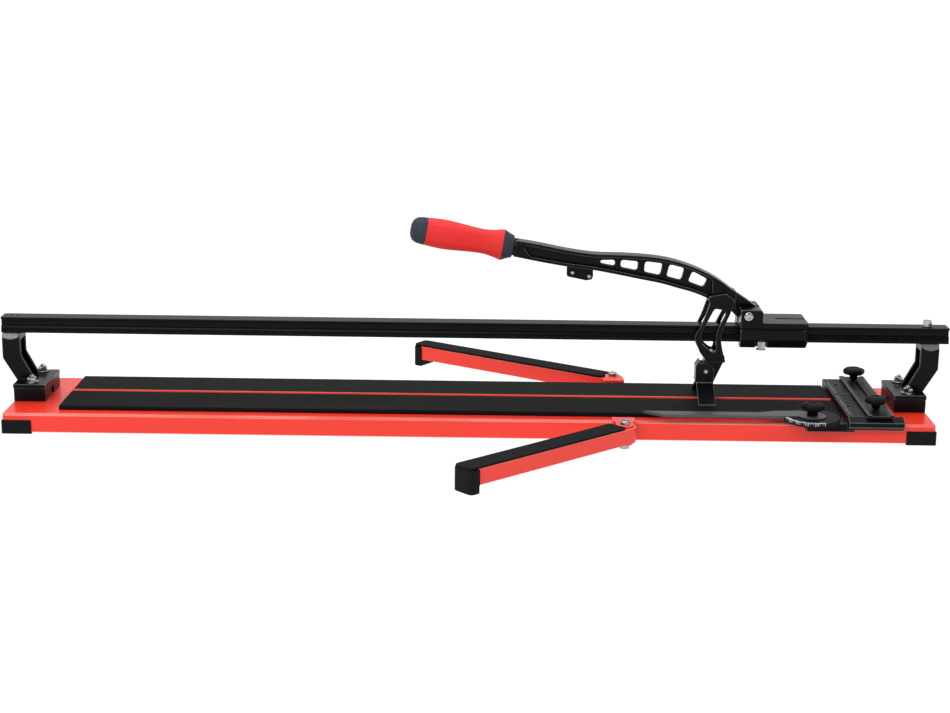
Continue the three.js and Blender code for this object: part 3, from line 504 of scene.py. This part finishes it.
def hexagon(flats, low, high, chamfer_low=False):
    """A hexagon head or nut with its corners chamfered by a 30 degree cone."""
    reach = six_sided(flats)

    def drop(angle):
        return (reach(angle) - flats / 2) * CHAMFER_SLOPE + 0.15

    rings = [ring(flats / 2 - 0.3, low), ring(reach, low)]
    if chamfer_low:
        rings = [ring(flats / 2 - 0.3, low), ring(reach, lambda angle: low + drop(angle))]
    rings += [ring(reach, lambda angle: high - drop(angle)), ring(flats / 2 - 0.3, high)]
    return lofted(rings)


def threaded(radius, low, high, pitch):
    """The end of a bolt, its thread turned as a row of ridges."""
    profile = []
    height = low
    while height < high - pitch:
        profile += [(radius - 0.1, height), (radius, height + pitch * 0.25),
                    (radius - pitch * 0.5, height + pitch * 0.75)]
        height += pitch
    profile += [(radius - pitch * 0.5, height), (radius - pitch * 0.9, high)]
    return turned(profile, steps=32)


def assembled(name, skins, place=None, sharp=38.0):
    """Joins several skins to one piece and puts it in place."""
    whole = bmesh.new()
    for skin in skins:
        part = bpy.data.meshes.new("part")
        skin.to_mesh(part)
        skin.free()
        whole.from_mesh(part)
        bpy.data.meshes.remove(part)
    made = placed(name, whole)
    if place is not None:
        made.data.transform(place)
    return settled(made, sharp)


def standing(node):
    """The foot of a CAD node's axis, for a piece that stands on it along Z."""
    low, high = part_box(node)
    return Matrix.Translation(((low.x + high.x) / 2, (low.y + high.y) / 2, low.z))


def size_of(node):
    """A CAD node's width, depth and height, in mm."""
    low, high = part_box(node)
    return [(high[axis] - low[axis]) * 1000 for axis in range(3)]


def plated(name, light, dull, roughness):
    """Plated or ground steel: a cloudy tone and gloss over faint crystals."""
    coat = Finish(bpy.data.materials.new(name))
    place = coat.node("TexCoord", take="Object")
    crystals = coat.node("TexVoronoi", None, {0: place, "Scale": 900.0}, take="Distance")
    cloud = coat.node("TexNoise", None, {0: place, "Scale": 90.0, "Detail": 2.0})
    return coat.surface(
        Base_Color=coat.mix(cloud, dull, light),
        Metallic=1.0,
        Roughness=roughness + cloud * 0.08,
        Normal=coat.node("Bump", None, {"Strength": 0.03, "Distance": 0.0001, "Height": crystals}),
    )


zinc = plated("zinc_plate", ZINC, ZINC_DULL, roughness=0.14)
for spot in ("left_bolt_front", "left_bolt_back", "right_bolt_front", "right_bolt_back"):
    tall = size_of(spot)[2]
    nut_top = tall - 5.1
    fitted(assembled(f"{spot}_nut", [
        hexagon(M8_FLATS, 0.0, 6.0, chamfer_low=True),
        turned([(M8_RADIUS, 5.5), (M8_RADIUS, nut_top - 8)]),
        threaded(M8_RADIUS, nut_top - 8, tall - 0.1, M8_PITCH),
        turned([(10.3, nut_top - 6.9), (10.5, nut_top - 6.7), (10.5, nut_top - 5.3),
                (10.2, nut_top - 5.1)]),
        hexagon(M8_FLATS, nut_top - 5.1, nut_top + 1.5, chamfer_low=True),
    ], standing(spot)), zinc, "frame", "zinc", spot)

tall = size_of("rail_screw_left")[2]
fitted(assembled("rail_screw_flush", [
    turned([(3, 0), (3, tall - 3), (5.2, tall - 3), (5.4, tall - 2.8), (5.4, tall - 0.3),
            (5.1, tall), (3.2, tall), (2.9, tall - 0.4), (2.7, tall - 2.0), (0.2, tall - 2.2)]),
], standing("rail_screw_left")), zinc, "frame", "zinc", "rail_screw_left")

tall = size_of("rail_bolt_right")[2]
fitted(assembled("rail_bolt_hexagon", [
    threaded(3, 0, 12, 1.0),
    turned([(3, 11.5), (3, tall - 9.4)]),
    turned([(7.8, tall - 9.6), (8, tall - 9.4), (8, tall - 8.2), (7.8, tall - 8)]),
    hexagon(13, tall - 8, tall),
], standing("rail_bolt_right")), zinc, "frame", "zinc", "rail_bolt_right")

# ======== Rail ========
# A drawn aluminium extrusion, black anodised: a flat top flange, two running grooves
# and a lower flange. The die leaves faint lines along its whole length.
RAIL_BLACK = (0.0028, 0.0031, 0.0038, 1.0)
RAIL_PALE = (0.0065, 0.0070, 0.0082, 1.0)


def along_x(name, half, low, high, middle):
    """A length of extrusion: half is its right-hand outline, in mm, from bottom to top."""
    skin = bmesh.new()
    outline = [(y, z) for y, z in half] + [(-y, z) for y, z in reversed(half)]
    ends = []
    for x in (low.x, high.x):
        ends.append([skin.verts.new((x, middle + y / 1000, low.z + z / 1000))
                     for y, z in outline])
    count = len(outline)
    for i in range(count):
        j = (i + 1) % count
        skin.faces.new((ends[0][i], ends[0][j], ends[1][j], ends[1][i]))
    skin.faces.new(ends[0])
    skin.faces.new(ends[1][::-1])
    bmesh.ops.recalc_face_normals(skin, faces=skin.faces)
    return assembled(name, [skin], sharp=25.0)


def drawn_metal(name, dark, pale):
    """Anodised extrusion: hair-thin die lines along X and a deep satin."""
    coat = Finish(bpy.data.materials.new(name))
    place = coat.node("TexCoord", take="Object")
    run = coat.node("VectorMath", {"operation": "MULTIPLY"}, {0: place, 1: (1.5, 900.0, 900.0)})
    lines = coat.node("TexNoise", None, {0: run, "Scale": 1.0, "Detail": 4.0})
    cloud = coat.node("TexNoise", None, {0: place, "Scale": 9.0, "Detail": 5.0})
    return coat.surface(
        Base_Color=coat.mix(cloud, dark, pale),
        Metallic=0.1,
        Specular_IOR_Level=0.08,
        Roughness=0.24 + lines * 0.1,
        Normal=coat.node("Bump", None, {"Strength": 0.12, "Distance": 0.0002, "Height": lines}),
    )


rail_finish = drawn_metal("black_anodised", RAIL_BLACK, RAIL_PALE)
rail_low, rail_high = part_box("rail")
rail_line = (rail_low.y + rail_high.y) / 2
tall = size_of("rail")[2]
reach = size_of("rail")[1] / 2
rail_half = [
    (4.0, 0.0), (4.0, 3.2), (7.4, 3.2), (7.4, 0.4), (7.8, 0.0), (reach - 1.2, 0.0),
    (reach - 0.3, 0.5), (reach, 1.4), (reach - 0.2, 4.6), (reach - 0.7, 5.0),
    (reach - 0.7, 5.6), (reach - 0.4, 6.0), (reach - 1.2, 10.4), (reach - 1.6, 11.0),
    (reach - 3.6, 11.6), (reach - 4.2, 12.2), (reach - 4.2, tall - 4.6),
    (reach - 3.8, tall - 4.0), (reach - 0.9, tall - 3.5), (reach - 0.2, tall - 3.0),
    (reach, tall - 2.3), (reach, tall - 0.9), (reach - 0.3, tall - 0.3),
    (reach - 0.9, tall), (5.2, tall), (4.9, tall - 0.35), (4.6, tall - 0.35), (4.3, tall),
]
fitted(along_x("guide_rail", rail_half, rail_low, rail_high, rail_line), rail_finish, "frame",
       "rail_black", "rail")

# ======== Side fence ========
# A die-cast plate screwed across the right end of the bed, with a groove on the
# cutting line, counterbored screw holes and a raised scale; a moulded bar closes it.
FENCE_BLACK = (0.0022, 0.0025, 0.0030, 1.0)
FENCE_PALE = (0.0070, 0.0075, 0.0085, 1.0)
# The rounded edges get a paler grey than the faces: a painted highlight.
FENCE_EDGE_HIGHLIGHT = (0.045, 0.047, 0.050, 1.0)
FENCE_EDGE_HIGHLIGHT_PALE = (0.10, 0.103, 0.108, 1.0)
FENCE_GROOVE = (0.008, 0.020)           # where the groove crosses the scale, along Y
SCALE_GREY = (0.20, 0.205, 0.21, 1.0)
SCALE_PALE = (0.32, 0.325, 0.33, 1.0)
TICK_PITCH = 0.002
TICK_HALF = 0.0003                      # half its width
TICK_RISE = 0.00025
TICK_SUNK = 0.0002                      # how deep its foot goes into the plate

# The second finish, for the rounded edges of every piece in it, is that painted highlight.
fence_finish_and_edge_highlight = (moulded("fence_enamel", FENCE_BLACK, FENCE_PALE,
                        roughness=0.3, grain_scale=700.0, depth=0.0002),
                moulded("fence_edge_painted_highlight", FENCE_EDGE_HIGHLIGHT, FENCE_EDGE_HIGHLIGHT_PALE,
                        roughness=0.3, grain_scale=700.0, depth=0.0001, shine=0.4))
scale_paint = moulded("scale_relief", SCALE_GREY, SCALE_PALE,
                      roughness=0.35, grain_scale=900.0, depth=0.0001)


def slab(low, high):
    """A closed bar between two corners, with its top edges broken."""
    skin = bmesh.new()
    broken = min(0.0001, (high[0] - low[0]) / 4, (high[1] - low[1]) / 4)
    levels = ((low[2], 0.0), (high[2] - broken, 0.0), (high[2], broken))
    loops = []
    for level, inset in levels:
        corners = ((low[0] + inset, low[1] + inset), (high[0] - inset, low[1] + inset),
                   (high[0] - inset, high[1] - inset), (low[0] + inset, high[1] - inset))
        loops.append([skin.verts.new((x, y, level)) for x, y in corners])
    for lower, upper in zip(loops, loops[1:]):
        for i in range(4):
            skin.faces.new((lower[i], lower[(i + 1) % 4], upper[(i + 1) % 4], upper[i]))
    skin.faces.new(loops[0][::-1])
    skin.faces.new(loops[-1])
    return skin


def graduations(starts, ends, foot, tip, top, gap=(0.0, 0.0)):
    """A row of raised lines across X from foot, every fifth and tenth one longer.

    Tip is where the longest ones end, and gap a stretch along Y without lines."""
    bars = []
    count = int((ends - starts) / TICK_PITCH)
    for i in range(count + 1):
        y = starts + i * TICK_PITCH
        if gap[0] < y < gap[1]:
            continue
        share = 1.0 if i % 10 == 0 else 0.72 if i % 5 == 0 else 0.45
        end = foot + (tip - foot) * share
        bars.append(slab((min(foot, end), y - TICK_HALF, top - TICK_SUNK),
                         (max(foot, end), y + TICK_HALF, top + TICK_RISE)))
    return bars


fence_low, fence_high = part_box("fence_plate")
fitted(eased("fence_plate", "fence_casting", 0.0006), fence_finish_and_edge_highlight, "frame", "black_casting",
       "fence_plate")
fitted(assembled("fence_scale", graduations(
    fence_low.y + 0.008, fence_high.y - 0.008, fence_low.x + 0.003, fence_low.x + 0.012,
    fence_high.z, FENCE_GROOVE)), scale_paint, "frame", "black_casting")
fitted(eased("fence_front_bar", "fence_bar", 0.0008), fence_finish_and_edge_highlight, "frame", "black_plastic",
       "fence_front_bar")

# ======== Stop ruler ========
# A black die-cast ruler with a long slot, which slides across the fence plate and
# carries raised lines on both of its rims.
RULER_RIM = (0.0008, 0.0065)            # the lines' two ends, inwards from the side

ruler_low, ruler_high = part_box("stop_ruler")
fitted(eased("stop_ruler", "stop_ruler_bar", 0.0005), fence_finish_and_edge_highlight, "ruler", "black_casting",
       "stop_ruler")
ruler_lines = []
for foot, tip in ((ruler_low.x + RULER_RIM[0], ruler_low.x + RULER_RIM[1]),
                  (ruler_high.x - RULER_RIM[0], ruler_high.x - RULER_RIM[1])):
    ruler_lines += graduations(ruler_low.y + 0.004, ruler_high.y - 0.004, foot, tip, ruler_high.z)
fitted(assembled("stop_ruler_scale", ruler_lines), scale_paint, "ruler", "black_casting")

# ======== Clamp knobs ========
# Moulded black knobs with six shallow finger hollows, a dished cap and a short hub,
# each turned on a steel stud through the slot below it.
KNOB_BLACK = (0.0030, 0.0032, 0.0037, 1.0)
KNOB_PALE = (0.0085, 0.0090, 0.0100, 1.0)
KNOB_LOBES = 6
KNOB_HOLLOW = 1.7                       # mm, depth of a finger hollow
KNOB_TALL = 12.5                        # mm, from the skirt to the top


def knob(name, node, hub_radius, seat_level):
    """A lobed knob with its CAD node's height and reach; the stud is thin below the seat."""
    reach = size_of(node)[0] / 2
    skirt = size_of(node)[2] - KNOB_TALL

    def lobed(radius):
        def at(angle):
            dip = (0.5 - 0.5 * math.cos(KNOB_LOBES * angle)) ** 2
            return radius - KNOB_HOLLOW * dip * radius / reach
        return at

    seat = (seat_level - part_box(node)[0].z) * 1000
    rings = [ring(3, 0), ring(3, seat), ring(hub_radius, seat),
             ring(hub_radius + 0.4, seat + 0.4), ring(hub_radius + 0.2, skirt - 1),
             ring(hub_radius + 1.6, skirt + 0.6)]
    for radius, height in ((reach - 4, 1.6), (reach - 1.6, 2.6), (reach - 0.3, 4.0),
                           (reach, 5.6), (reach, 7.8), (reach - 0.4, 9.3), (reach - 1.6, 10.5),
                           (reach - 3.8, 11.4), (reach * 0.6, 12.3), (reach * 0.52, KNOB_TALL)):
        rings.append(ring(lobed(radius), skirt + height))
    rings += [ring(reach * 0.44, skirt + 12.3), ring(reach * 0.36, skirt + 11.7),
              ring(reach * 0.2, skirt + 11.4), ring(0.05, skirt + 11.3)]
    return assembled(name, [lofted(rings)], standing(node), sharp=50.0)


knob_plastic = moulded("knob_plastic", KNOB_BLACK, KNOB_PALE,
                       roughness=0.38, grain_scale=1500.0, depth=0.00025)
for side in ("back", "front"):
    fitted(knob(f"ruler_knob_{side}", f"stop_knob_{side}", 6.0, ruler_high.z), knob_plastic,
           f"knob_{side}", "black_plastic", f"stop_knob_{side}")
fitted(knob("angle_knob", "guide_knob", 8.0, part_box("angle_bar")[1].z), knob_plastic,
       "knob_guide", "black_plastic", "guide_knob")

# ======== Angle guide ========
# A moulded slide hooks over the bed's front edge. The long tapered blade swings on it
# together with its toothed protractor disc, and the scale's teeth are filled in white.
BLADE_GREY = (0.050, 0.054, 0.062, 1.0)
BLADE_PALE = (0.085, 0.090, 0.100, 1.0)
TEETH_GREY = (0.60, 0.61, 0.62, 1.0)
TEETH_WHITE = (0.75, 0.76, 0.77, 1.0)
TEETH = range(160, 289, 4)              # degrees round the disc
TOOTH_HALF = 0.0007                     # half a filled line's width
TOOTH_DEEP = 0.0036                     # how far it runs down the rim
TOOTH_RISE = 0.0003

blade_plastic = moulded("blade_plastic", BLADE_GREY, BLADE_PALE,
                        roughness=0.30, grain_scale=800.0, depth=0.0001, shine=0.3)
scale_white = moulded("scale_white", TEETH_GREY, TEETH_WHITE,
                      roughness=0.4, grain_scale=900.0, depth=0.0001)
fitted(eased("guide_slide", "guide_slide_block", 0.0007), fence_finish_and_edge_highlight, "frame", "black_plastic",
       "guide_slide")
fitted(eased("protractor_disc", "protractor_plate", 0.00035), knob_plastic, "angle_arm",
       "black_plastic", "protractor_disc")
fitted(eased("angle_bar", "angle_blade", 0.0006), blade_plastic, "angle_arm", "slate_plastic",
       "angle_bar")

disc_low, disc_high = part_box("protractor_disc")
low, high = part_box("guide_knob")
pivot = (low + high) / 2
rim = (disc_high.x - disc_low.x) / 2 - 0.0004
teeth = []
for angle in TEETH:
    length = 0.0070 if angle % 20 == 0 else 0.0048
    tooth = slab((rim - length, -TOOTH_HALF, disc_high.z - TOOTH_DEEP),
                 (rim + 0.0002, TOOTH_HALF, disc_high.z + TOOTH_RISE))
    bmesh.ops.rotate(tooth, verts=tooth.verts, cent=(0, 0, 0),
                     matrix=Matrix.Rotation(math.radians(angle), 3, "Z"))
    bmesh.ops.translate(tooth, verts=tooth.verts, vec=(pivot.x, pivot.y, 0))
    teeth.append(tooth)
fitted(assembled("protractor_scale", teeth), scale_white, "angle_arm", "black_plastic")

# ======== Carriage ========
# A black enamelled casting that wraps the rail, slit along the top so the bolt below
# can nip it up on its two plastic glides; the fork at its left end holds the pivot.
GLIDE_GREY = (0.040, 0.045, 0.052, 1.0)
GLIDE_PALE = (0.07, 0.075, 0.085, 1.0)

fitted(cast("carriage_body", "carriage_casting", voxel=0.0009, passes=3), enamel, "carriage",
       "black_casting", "carriage_body")
glide_plastic = moulded("glide_plastic", GLIDE_GREY, GLIDE_PALE,
                        roughness=0.4, grain_scale=900.0, depth=0.0002)
for side in ("front", "back"):
    fitted(eased(f"glide_{side}", f"glide_strip_{side}", 0.0005), glide_plastic, "carriage",
           "slate_plastic", f"glide_{side}")

tall = size_of("carriage_bolt")[2]
fitted(assembled("carriage_nip_bolt", [
    turned([(7.2, 0), (7.5, 0.3), (7.5, 1.8), (7.2, 2)]),
    hexagon(12, 2.0, 13.5, chamfer_low=True),
    threaded(3, 13.4, tall, 1.0),
], standing("carriage_bolt")), zinc, "carriage", "zinc", "carriage_bolt")


def across_y(node):
    """The middle of a CAD node's front end, for pieces that lie along Y."""
    low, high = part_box(node)
    return (Matrix.Translation(((low.x + high.x) / 2, low.y, (low.z + high.z) / 2))
            @ Matrix.Rotation(-math.pi / 2, 4, "X"))


def socket_head(radius, depth, key):
    """A button head pointing down Z from 0, with a hexagon socket for the key."""
    hexed = six_sided(key)
    return lofted([ring(0.1, depth * 0.55), ring(hexed, depth * 0.55), ring(hexed, 0.05),
                   ring(key / 2 / 0.86 + 0.3, 0.0), ring(radius * 0.72, 0.12),
                   ring(radius - 0.5, 0.8), ring(radius, 1.6), ring(radius, depth - 0.2),
                   ring(radius - 0.2, depth)])


wide = size_of("pivot_bolt")[1]
fitted(assembled("pivot_cap_screw", [
    socket_head(7.4, 5.0, 6.0),
    turned([(M8_RADIUS, 4.9), (M8_RADIUS, wide - 6.6)]),
    hexagon(M8_FLATS, wide - 6.5, wide, chamfer_low=True),
], across_y("pivot_bolt")), zinc, "carriage", "zinc", "pivot_bolt")

# ======== Lever ========
# One aluminium casting from the tang in the grip to the fork that straddles the rail:
# an I-section with five windows, a hub for the pivot and a slotted nose.
fitted(cast("lever_casting", "lever_beam", voxel=0.0008, passes=3), enamel, "lever",
       "black_casting", "lever_casting")
fitted(eased("wheel_holder", "spare_wheel_holder", 0.0006), knob_plastic, "lever", "black_plastic",
       "wheel_holder")
for side in ("left", "right"):
    wide = size_of(f"holder_screw_{side}")[1]
    fitted(assembled(f"holder_cap_screw_{side}", [
        socket_head(3.6, 2.4, 3.0),
        turned([(1.9, 2.3), (1.9, wide)]),
    ], across_y(f"holder_screw_{side}")), zinc, "lever", "zinc", f"holder_screw_{side}")

tall = size_of("yoke_bolt")[2]
fitted(assembled("yoke_hexagon_bolt", [
    threaded(2.5, 0, tall - 5, 0.8),
    turned([(6.2, tall - 5.1), (6.4, tall - 4.9), (6.4, tall - 4.0), (6.2, tall - 3.8)]),
    hexagon(10, tall - 3.8, tall),
], standing("yoke_bolt")), zinc, "lever", "zinc", "yoke_bolt")

# ======== Handle ========
# A soft red grip pushed over the tang between a slate collar, which sits on a black
# shoulder, and a slate end cap. The grip has a dry, fine-grained skin; the cap has a
# parting line and a dished face.
GRIP_RED = (0.82, 0.030, 0.029, 1.0)
GRIP_DEEP = (0.66, 0.018, 0.018, 1.0)
SLATE = (0.050, 0.060, 0.078, 1.0)
SLATE_DEEP = (0.028, 0.034, 0.046, 1.0)
GRIP_TILT = 9.4                         # degrees the handle rises to the left
GRIP_AROUND = 72                        # sides of a handle piece
COLLAR_NARROW = (0.0008, 0.0174)        # distance up the axis and radius where it is
COLLAR_WIDE = (0.0170, 0.0244)          # farthest right, and where it is lowest

collar_low, collar_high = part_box("grip_collar")
lean = math.radians(GRIP_TILT)
run = Vector((-math.cos(lean), 0.0, math.sin(lean)))
collar_foot = Vector((
    collar_high.x + COLLAR_NARROW[0] * math.cos(lean) - COLLAR_NARROW[1] * math.sin(lean),
    (collar_low.y + collar_high.y) / 2,
    collar_low.z + COLLAR_WIDE[1] * math.cos(lean) - COLLAR_WIDE[0] * math.sin(lean)))
handle_place = (Matrix.Translation(collar_foot)
                @ run.to_track_quat("Z", "Y").to_matrix().to_4x4())


def soft_skin(name, light, deep):
    """Soft-touch moulding: a dry grain and a slow drift of tone."""
    coat = Finish(bpy.data.materials.new(name))
    place = coat.node("TexCoord", take="Object")
    grain = coat.node("TexNoise", None, {0: place, "Scale": 1700.0, "Detail": 3.0})
    tone = coat.node("TexNoise", None, {0: place, "Scale": 24.0, "Detail": 4.0})
    return coat.surface(
        Base_Color=coat.mix(tone, deep, light),
        Roughness=0.5 + grain * 0.12,
        Specular_IOR_Level=0.25,
        Normal=coat.node("Bump", None, {"Strength": 0.3, "Distance": 0.0002, "Height": grain}),
    )


def spun(name, profile):
    """A handle piece from (distance, radius) pairs along the handle's axis."""
    rings = [ring(radius, distance, GRIP_AROUND) for distance, radius in profile]
    return assembled(name, [lofted(rings)], handle_place, sharp=32.0)


def smooth_profile(points, steps=6):
    """Fills in a smooth curve through (distance, radius) pairs."""
    filled = []
    for i in range(len(points) - 1):
        before = points[max(i - 1, 0)]
        start, end = points[i], points[i + 1]
        after = points[min(i + 2, len(points) - 1)]
        for step in range(steps):
            t = step / steps
            filled.append(tuple(
                0.5 * (2 * b + (c - a) * t + (2 * a - 5 * b + 4 * c - d) * t * t
                       + (3 * b - a - 3 * c + d) * t ** 3)
                for a, b, c, d in zip(before, start, end, after)))
    return filled + [points[-1]]


grip_skin = soft_skin("grip_soft_red", GRIP_RED, GRIP_DEEP)
slate = moulded("slate_moulding", SLATE_DEEP, SLATE,
                roughness=0.36, grain_scale=1100.0, depth=0.0002)
grip_points = [(17.3, 24.4), (22.3, 23.5), (33.3, 21.0), (47.3, 19.4), (62.3, 19.8),
               (82.3, 21.4), (102.3, 23.0), (117.3, 23.2), (137.9, 22.0)]
fitted(spun("grip_sleeve", [(17.3, 12), (17.3, 23.9)] + smooth_profile(grip_points)
            + [(138.0, 21.6), (138.0, 12)]), grip_skin, "lever", "grip_red", "lever_grip")
fitted(spun("collar_ring", [(0, 8.6), (0, 14.6), (0.25, 15.2), (1.0, 17.2), (1.6, 17.7),
                            (8.0, 20.0), (15.8, 23.9), (16.5, 24.3), (16.9, 24.3),
                            (17.0, 24.0), (17.0, 12)]),
       slate, "lever", "slate_plastic", "grip_collar")
fitted(spun("tang_shoulder", [(-7.0, 8.2), (-6.6, 12.0), (-5.4, 13.0), (-0.8, 13.8), (-0.3, 13.6),
                              (-0.2, 8.2)]), knob_plastic, "lever", "black_casting")
cap_foot = [(138.3, 12), (138.3, 21.7), (138.6, 21.8)]
cap_groove = [(143.6, 21.6), (143.9, 21.1), (144.3, 21.1), (144.6, 21.5)]
cap_side = [(146.0, 21.5), (153.0, 20.3)]
cap_nose = [(153.0, 20.3), (158.5, 17.5), (162.0, 12.9), (163.6, 8.9)]
cap_face = [(164.0, 7.0), (163.6, 6.2), (163.2, 3.0), (163.2, 0.05)]
fitted(spun("cap_moulding", cap_foot + cap_groove + smooth_profile(cap_side)[:-1]
            + smooth_profile(cap_nose) + cap_face),
       slate, "lever", "slate_plastic", "grip_cap")

# ======== Cutting wheel ========
# A hardened steel wheel with a ground V edge, which turns on a pin through the slot of
# the lever's nose. That pin and the breaker foot's are zinc plated, with riveted heads.
WHEEL_BRIGHT = (0.50, 0.50, 0.51, 1.0)
WHEEL_DARK = (0.22, 0.22, 0.23, 1.0)
PINS = (
    # node, name, step between head and shank in mm
    ("wheel_axle", "wheel_pin", 0.9),
    ("foot_pin", "foot_rivet", 1.8),
)

radius = size_of("cutting_wheel")[0] / 2
thick = size_of("cutting_wheel")[1]
wheel_steel = plated("ground_steel", WHEEL_BRIGHT, WHEEL_DARK, roughness=0.2)
fitted(assembled("score_wheel", [turned([
    (2.8, 0.0), (6.0, 0.0), (6.2, 0.12), (radius - 1.7, 0.12), (radius - 1.5, 0.2),
    (radius, thick / 2), (radius - 1.5, thick - 0.2), (radius - 1.7, thick - 0.12),
    (6.2, thick - 0.12), (6.0, thick), (2.8, thick)], steps=96)],
    across_y("cutting_wheel"), sharp=20.0),
    wheel_steel, "wheel", "wheel_steel", "cutting_wheel")
for pin, name, step in PINS:
    wide = size_of(pin)[1]
    head = size_of(pin)[0] / 2
    shank = head - step
    fitted(assembled(name, [turned([
        (shank - 0.5, 0.0), (shank, 0.4), (shank, wide - 2.5), (head - 0.3, wide - 2.5),
        (head, wide - 2.2), (head, wide - 0.9), (head - 0.8, wide - 0.2), (head * 0.4, wide)])],
        across_y(pin)), zinc, "lever", "zinc", pin)

# ======== Breaker foot ========
# Pressed from 3 mm steel: two ears on the nose's pin, a bridge behind them and two
# sloping wings that press the scored tile down on both sides of the ridge.
PRESSED_BLACK = (0.0022, 0.0025, 0.0030, 1.0)
PRESSED_PALE = (0.0080, 0.0085, 0.0095, 1.0)
# A paler grey on the pressing's rounded bends and edges: a painted highlight.
BEND_HIGHLIGHT_GREY = (0.14, 0.145, 0.15, 1.0)
BEND_HIGHLIGHT_PALE = (0.24, 0.245, 0.25, 1.0)

# The second finish, for the rounded bends and edges, is that painted highlight.
foot_paint_and_bend_highlight = (black_paint("foot_enamel", PRESSED_BLACK, PRESSED_PALE, painted_edge_highlight=False),
              moulded("bend_painted_highlight", BEND_HIGHLIGHT_GREY, BEND_HIGHLIGHT_PALE,
                      roughness=0.3, grain_scale=700.0, depth=0.0001, shine=0.4))
fitted(eased("breaker_foot", "breaker_pressing", 0.0005), foot_paint_and_bend_highlight, "breaker",
       "black_casting", "breaker_foot")

# ======== Support arms ========
# Folded steel channels, red, that swing out on a bolt to carry a wide tile. A rubber
# strip is glued on top, and a moulded end cap reaches down to the bench.
STRIP_BLACK = (0.0045, 0.0046, 0.0048, 1.0)
STRIP_PALE = (0.0110, 0.0112, 0.0118, 1.0)

arm_rubber = moulded("arm_rubber", STRIP_BLACK, STRIP_PALE,
                     roughness=0.62, grain_scale=1300.0, depth=0.0003)
for side in ("front", "back"):
    body = f"{side}_arm"
    fitted(eased(f"{side}_arm_channel", f"{side}_arm_steel", 0.0007), red_coat_and_edge_highlight, body, "red_paint",
           f"{side}_arm_channel")
    fitted(eased(f"{side}_arm_rubber", f"{side}_arm_strip", 0.0008, steps=3), arm_rubber, body,
           "black_rubber", f"{side}_arm_rubber")
    fitted(eased(f"{side}_arm_cap", f"{side}_arm_end", 0.0016, steps=3), foot_rubber, body,
           "black_rubber", f"{side}_arm_cap")
    fitted(eased(f"{side}_arm_bracket", f"{side}_hinge_bracket", 0.0006), red_coat_and_edge_highlight, "frame",
           "black_casting", f"{side}_arm_bracket")
    tall = size_of(f"{side}_hinge_bolt")[2]
    fitted(assembled(f"{side}_hinge_screw", [
        hexagon(15, 0.0, 6.3, chamfer_low=True),
        turned([(5, 6.2), (5, tall - 5.3)]),
        turned([(7.4, tall - 5.4), (7.6, tall - 5.2), (7.6, tall - 2.6), (7.2, tall - 1.4),
                (6.0, tall - 0.4), (4.4, tall), (3.5, tall), (3.3, tall - 0.3),
                (3.2, tall - 2.4), (0.1, tall - 2.6)]),
    ], standing(f"{side}_hinge_bolt")), zinc, "frame", "zinc", f"{side}_hinge_bolt")
    fitted(eased(f"{side}_bracket_screw", f"{side}_dome_screw", 0.0003), zinc, "frame", "zinc",
           f"{side}_bracket_screw")
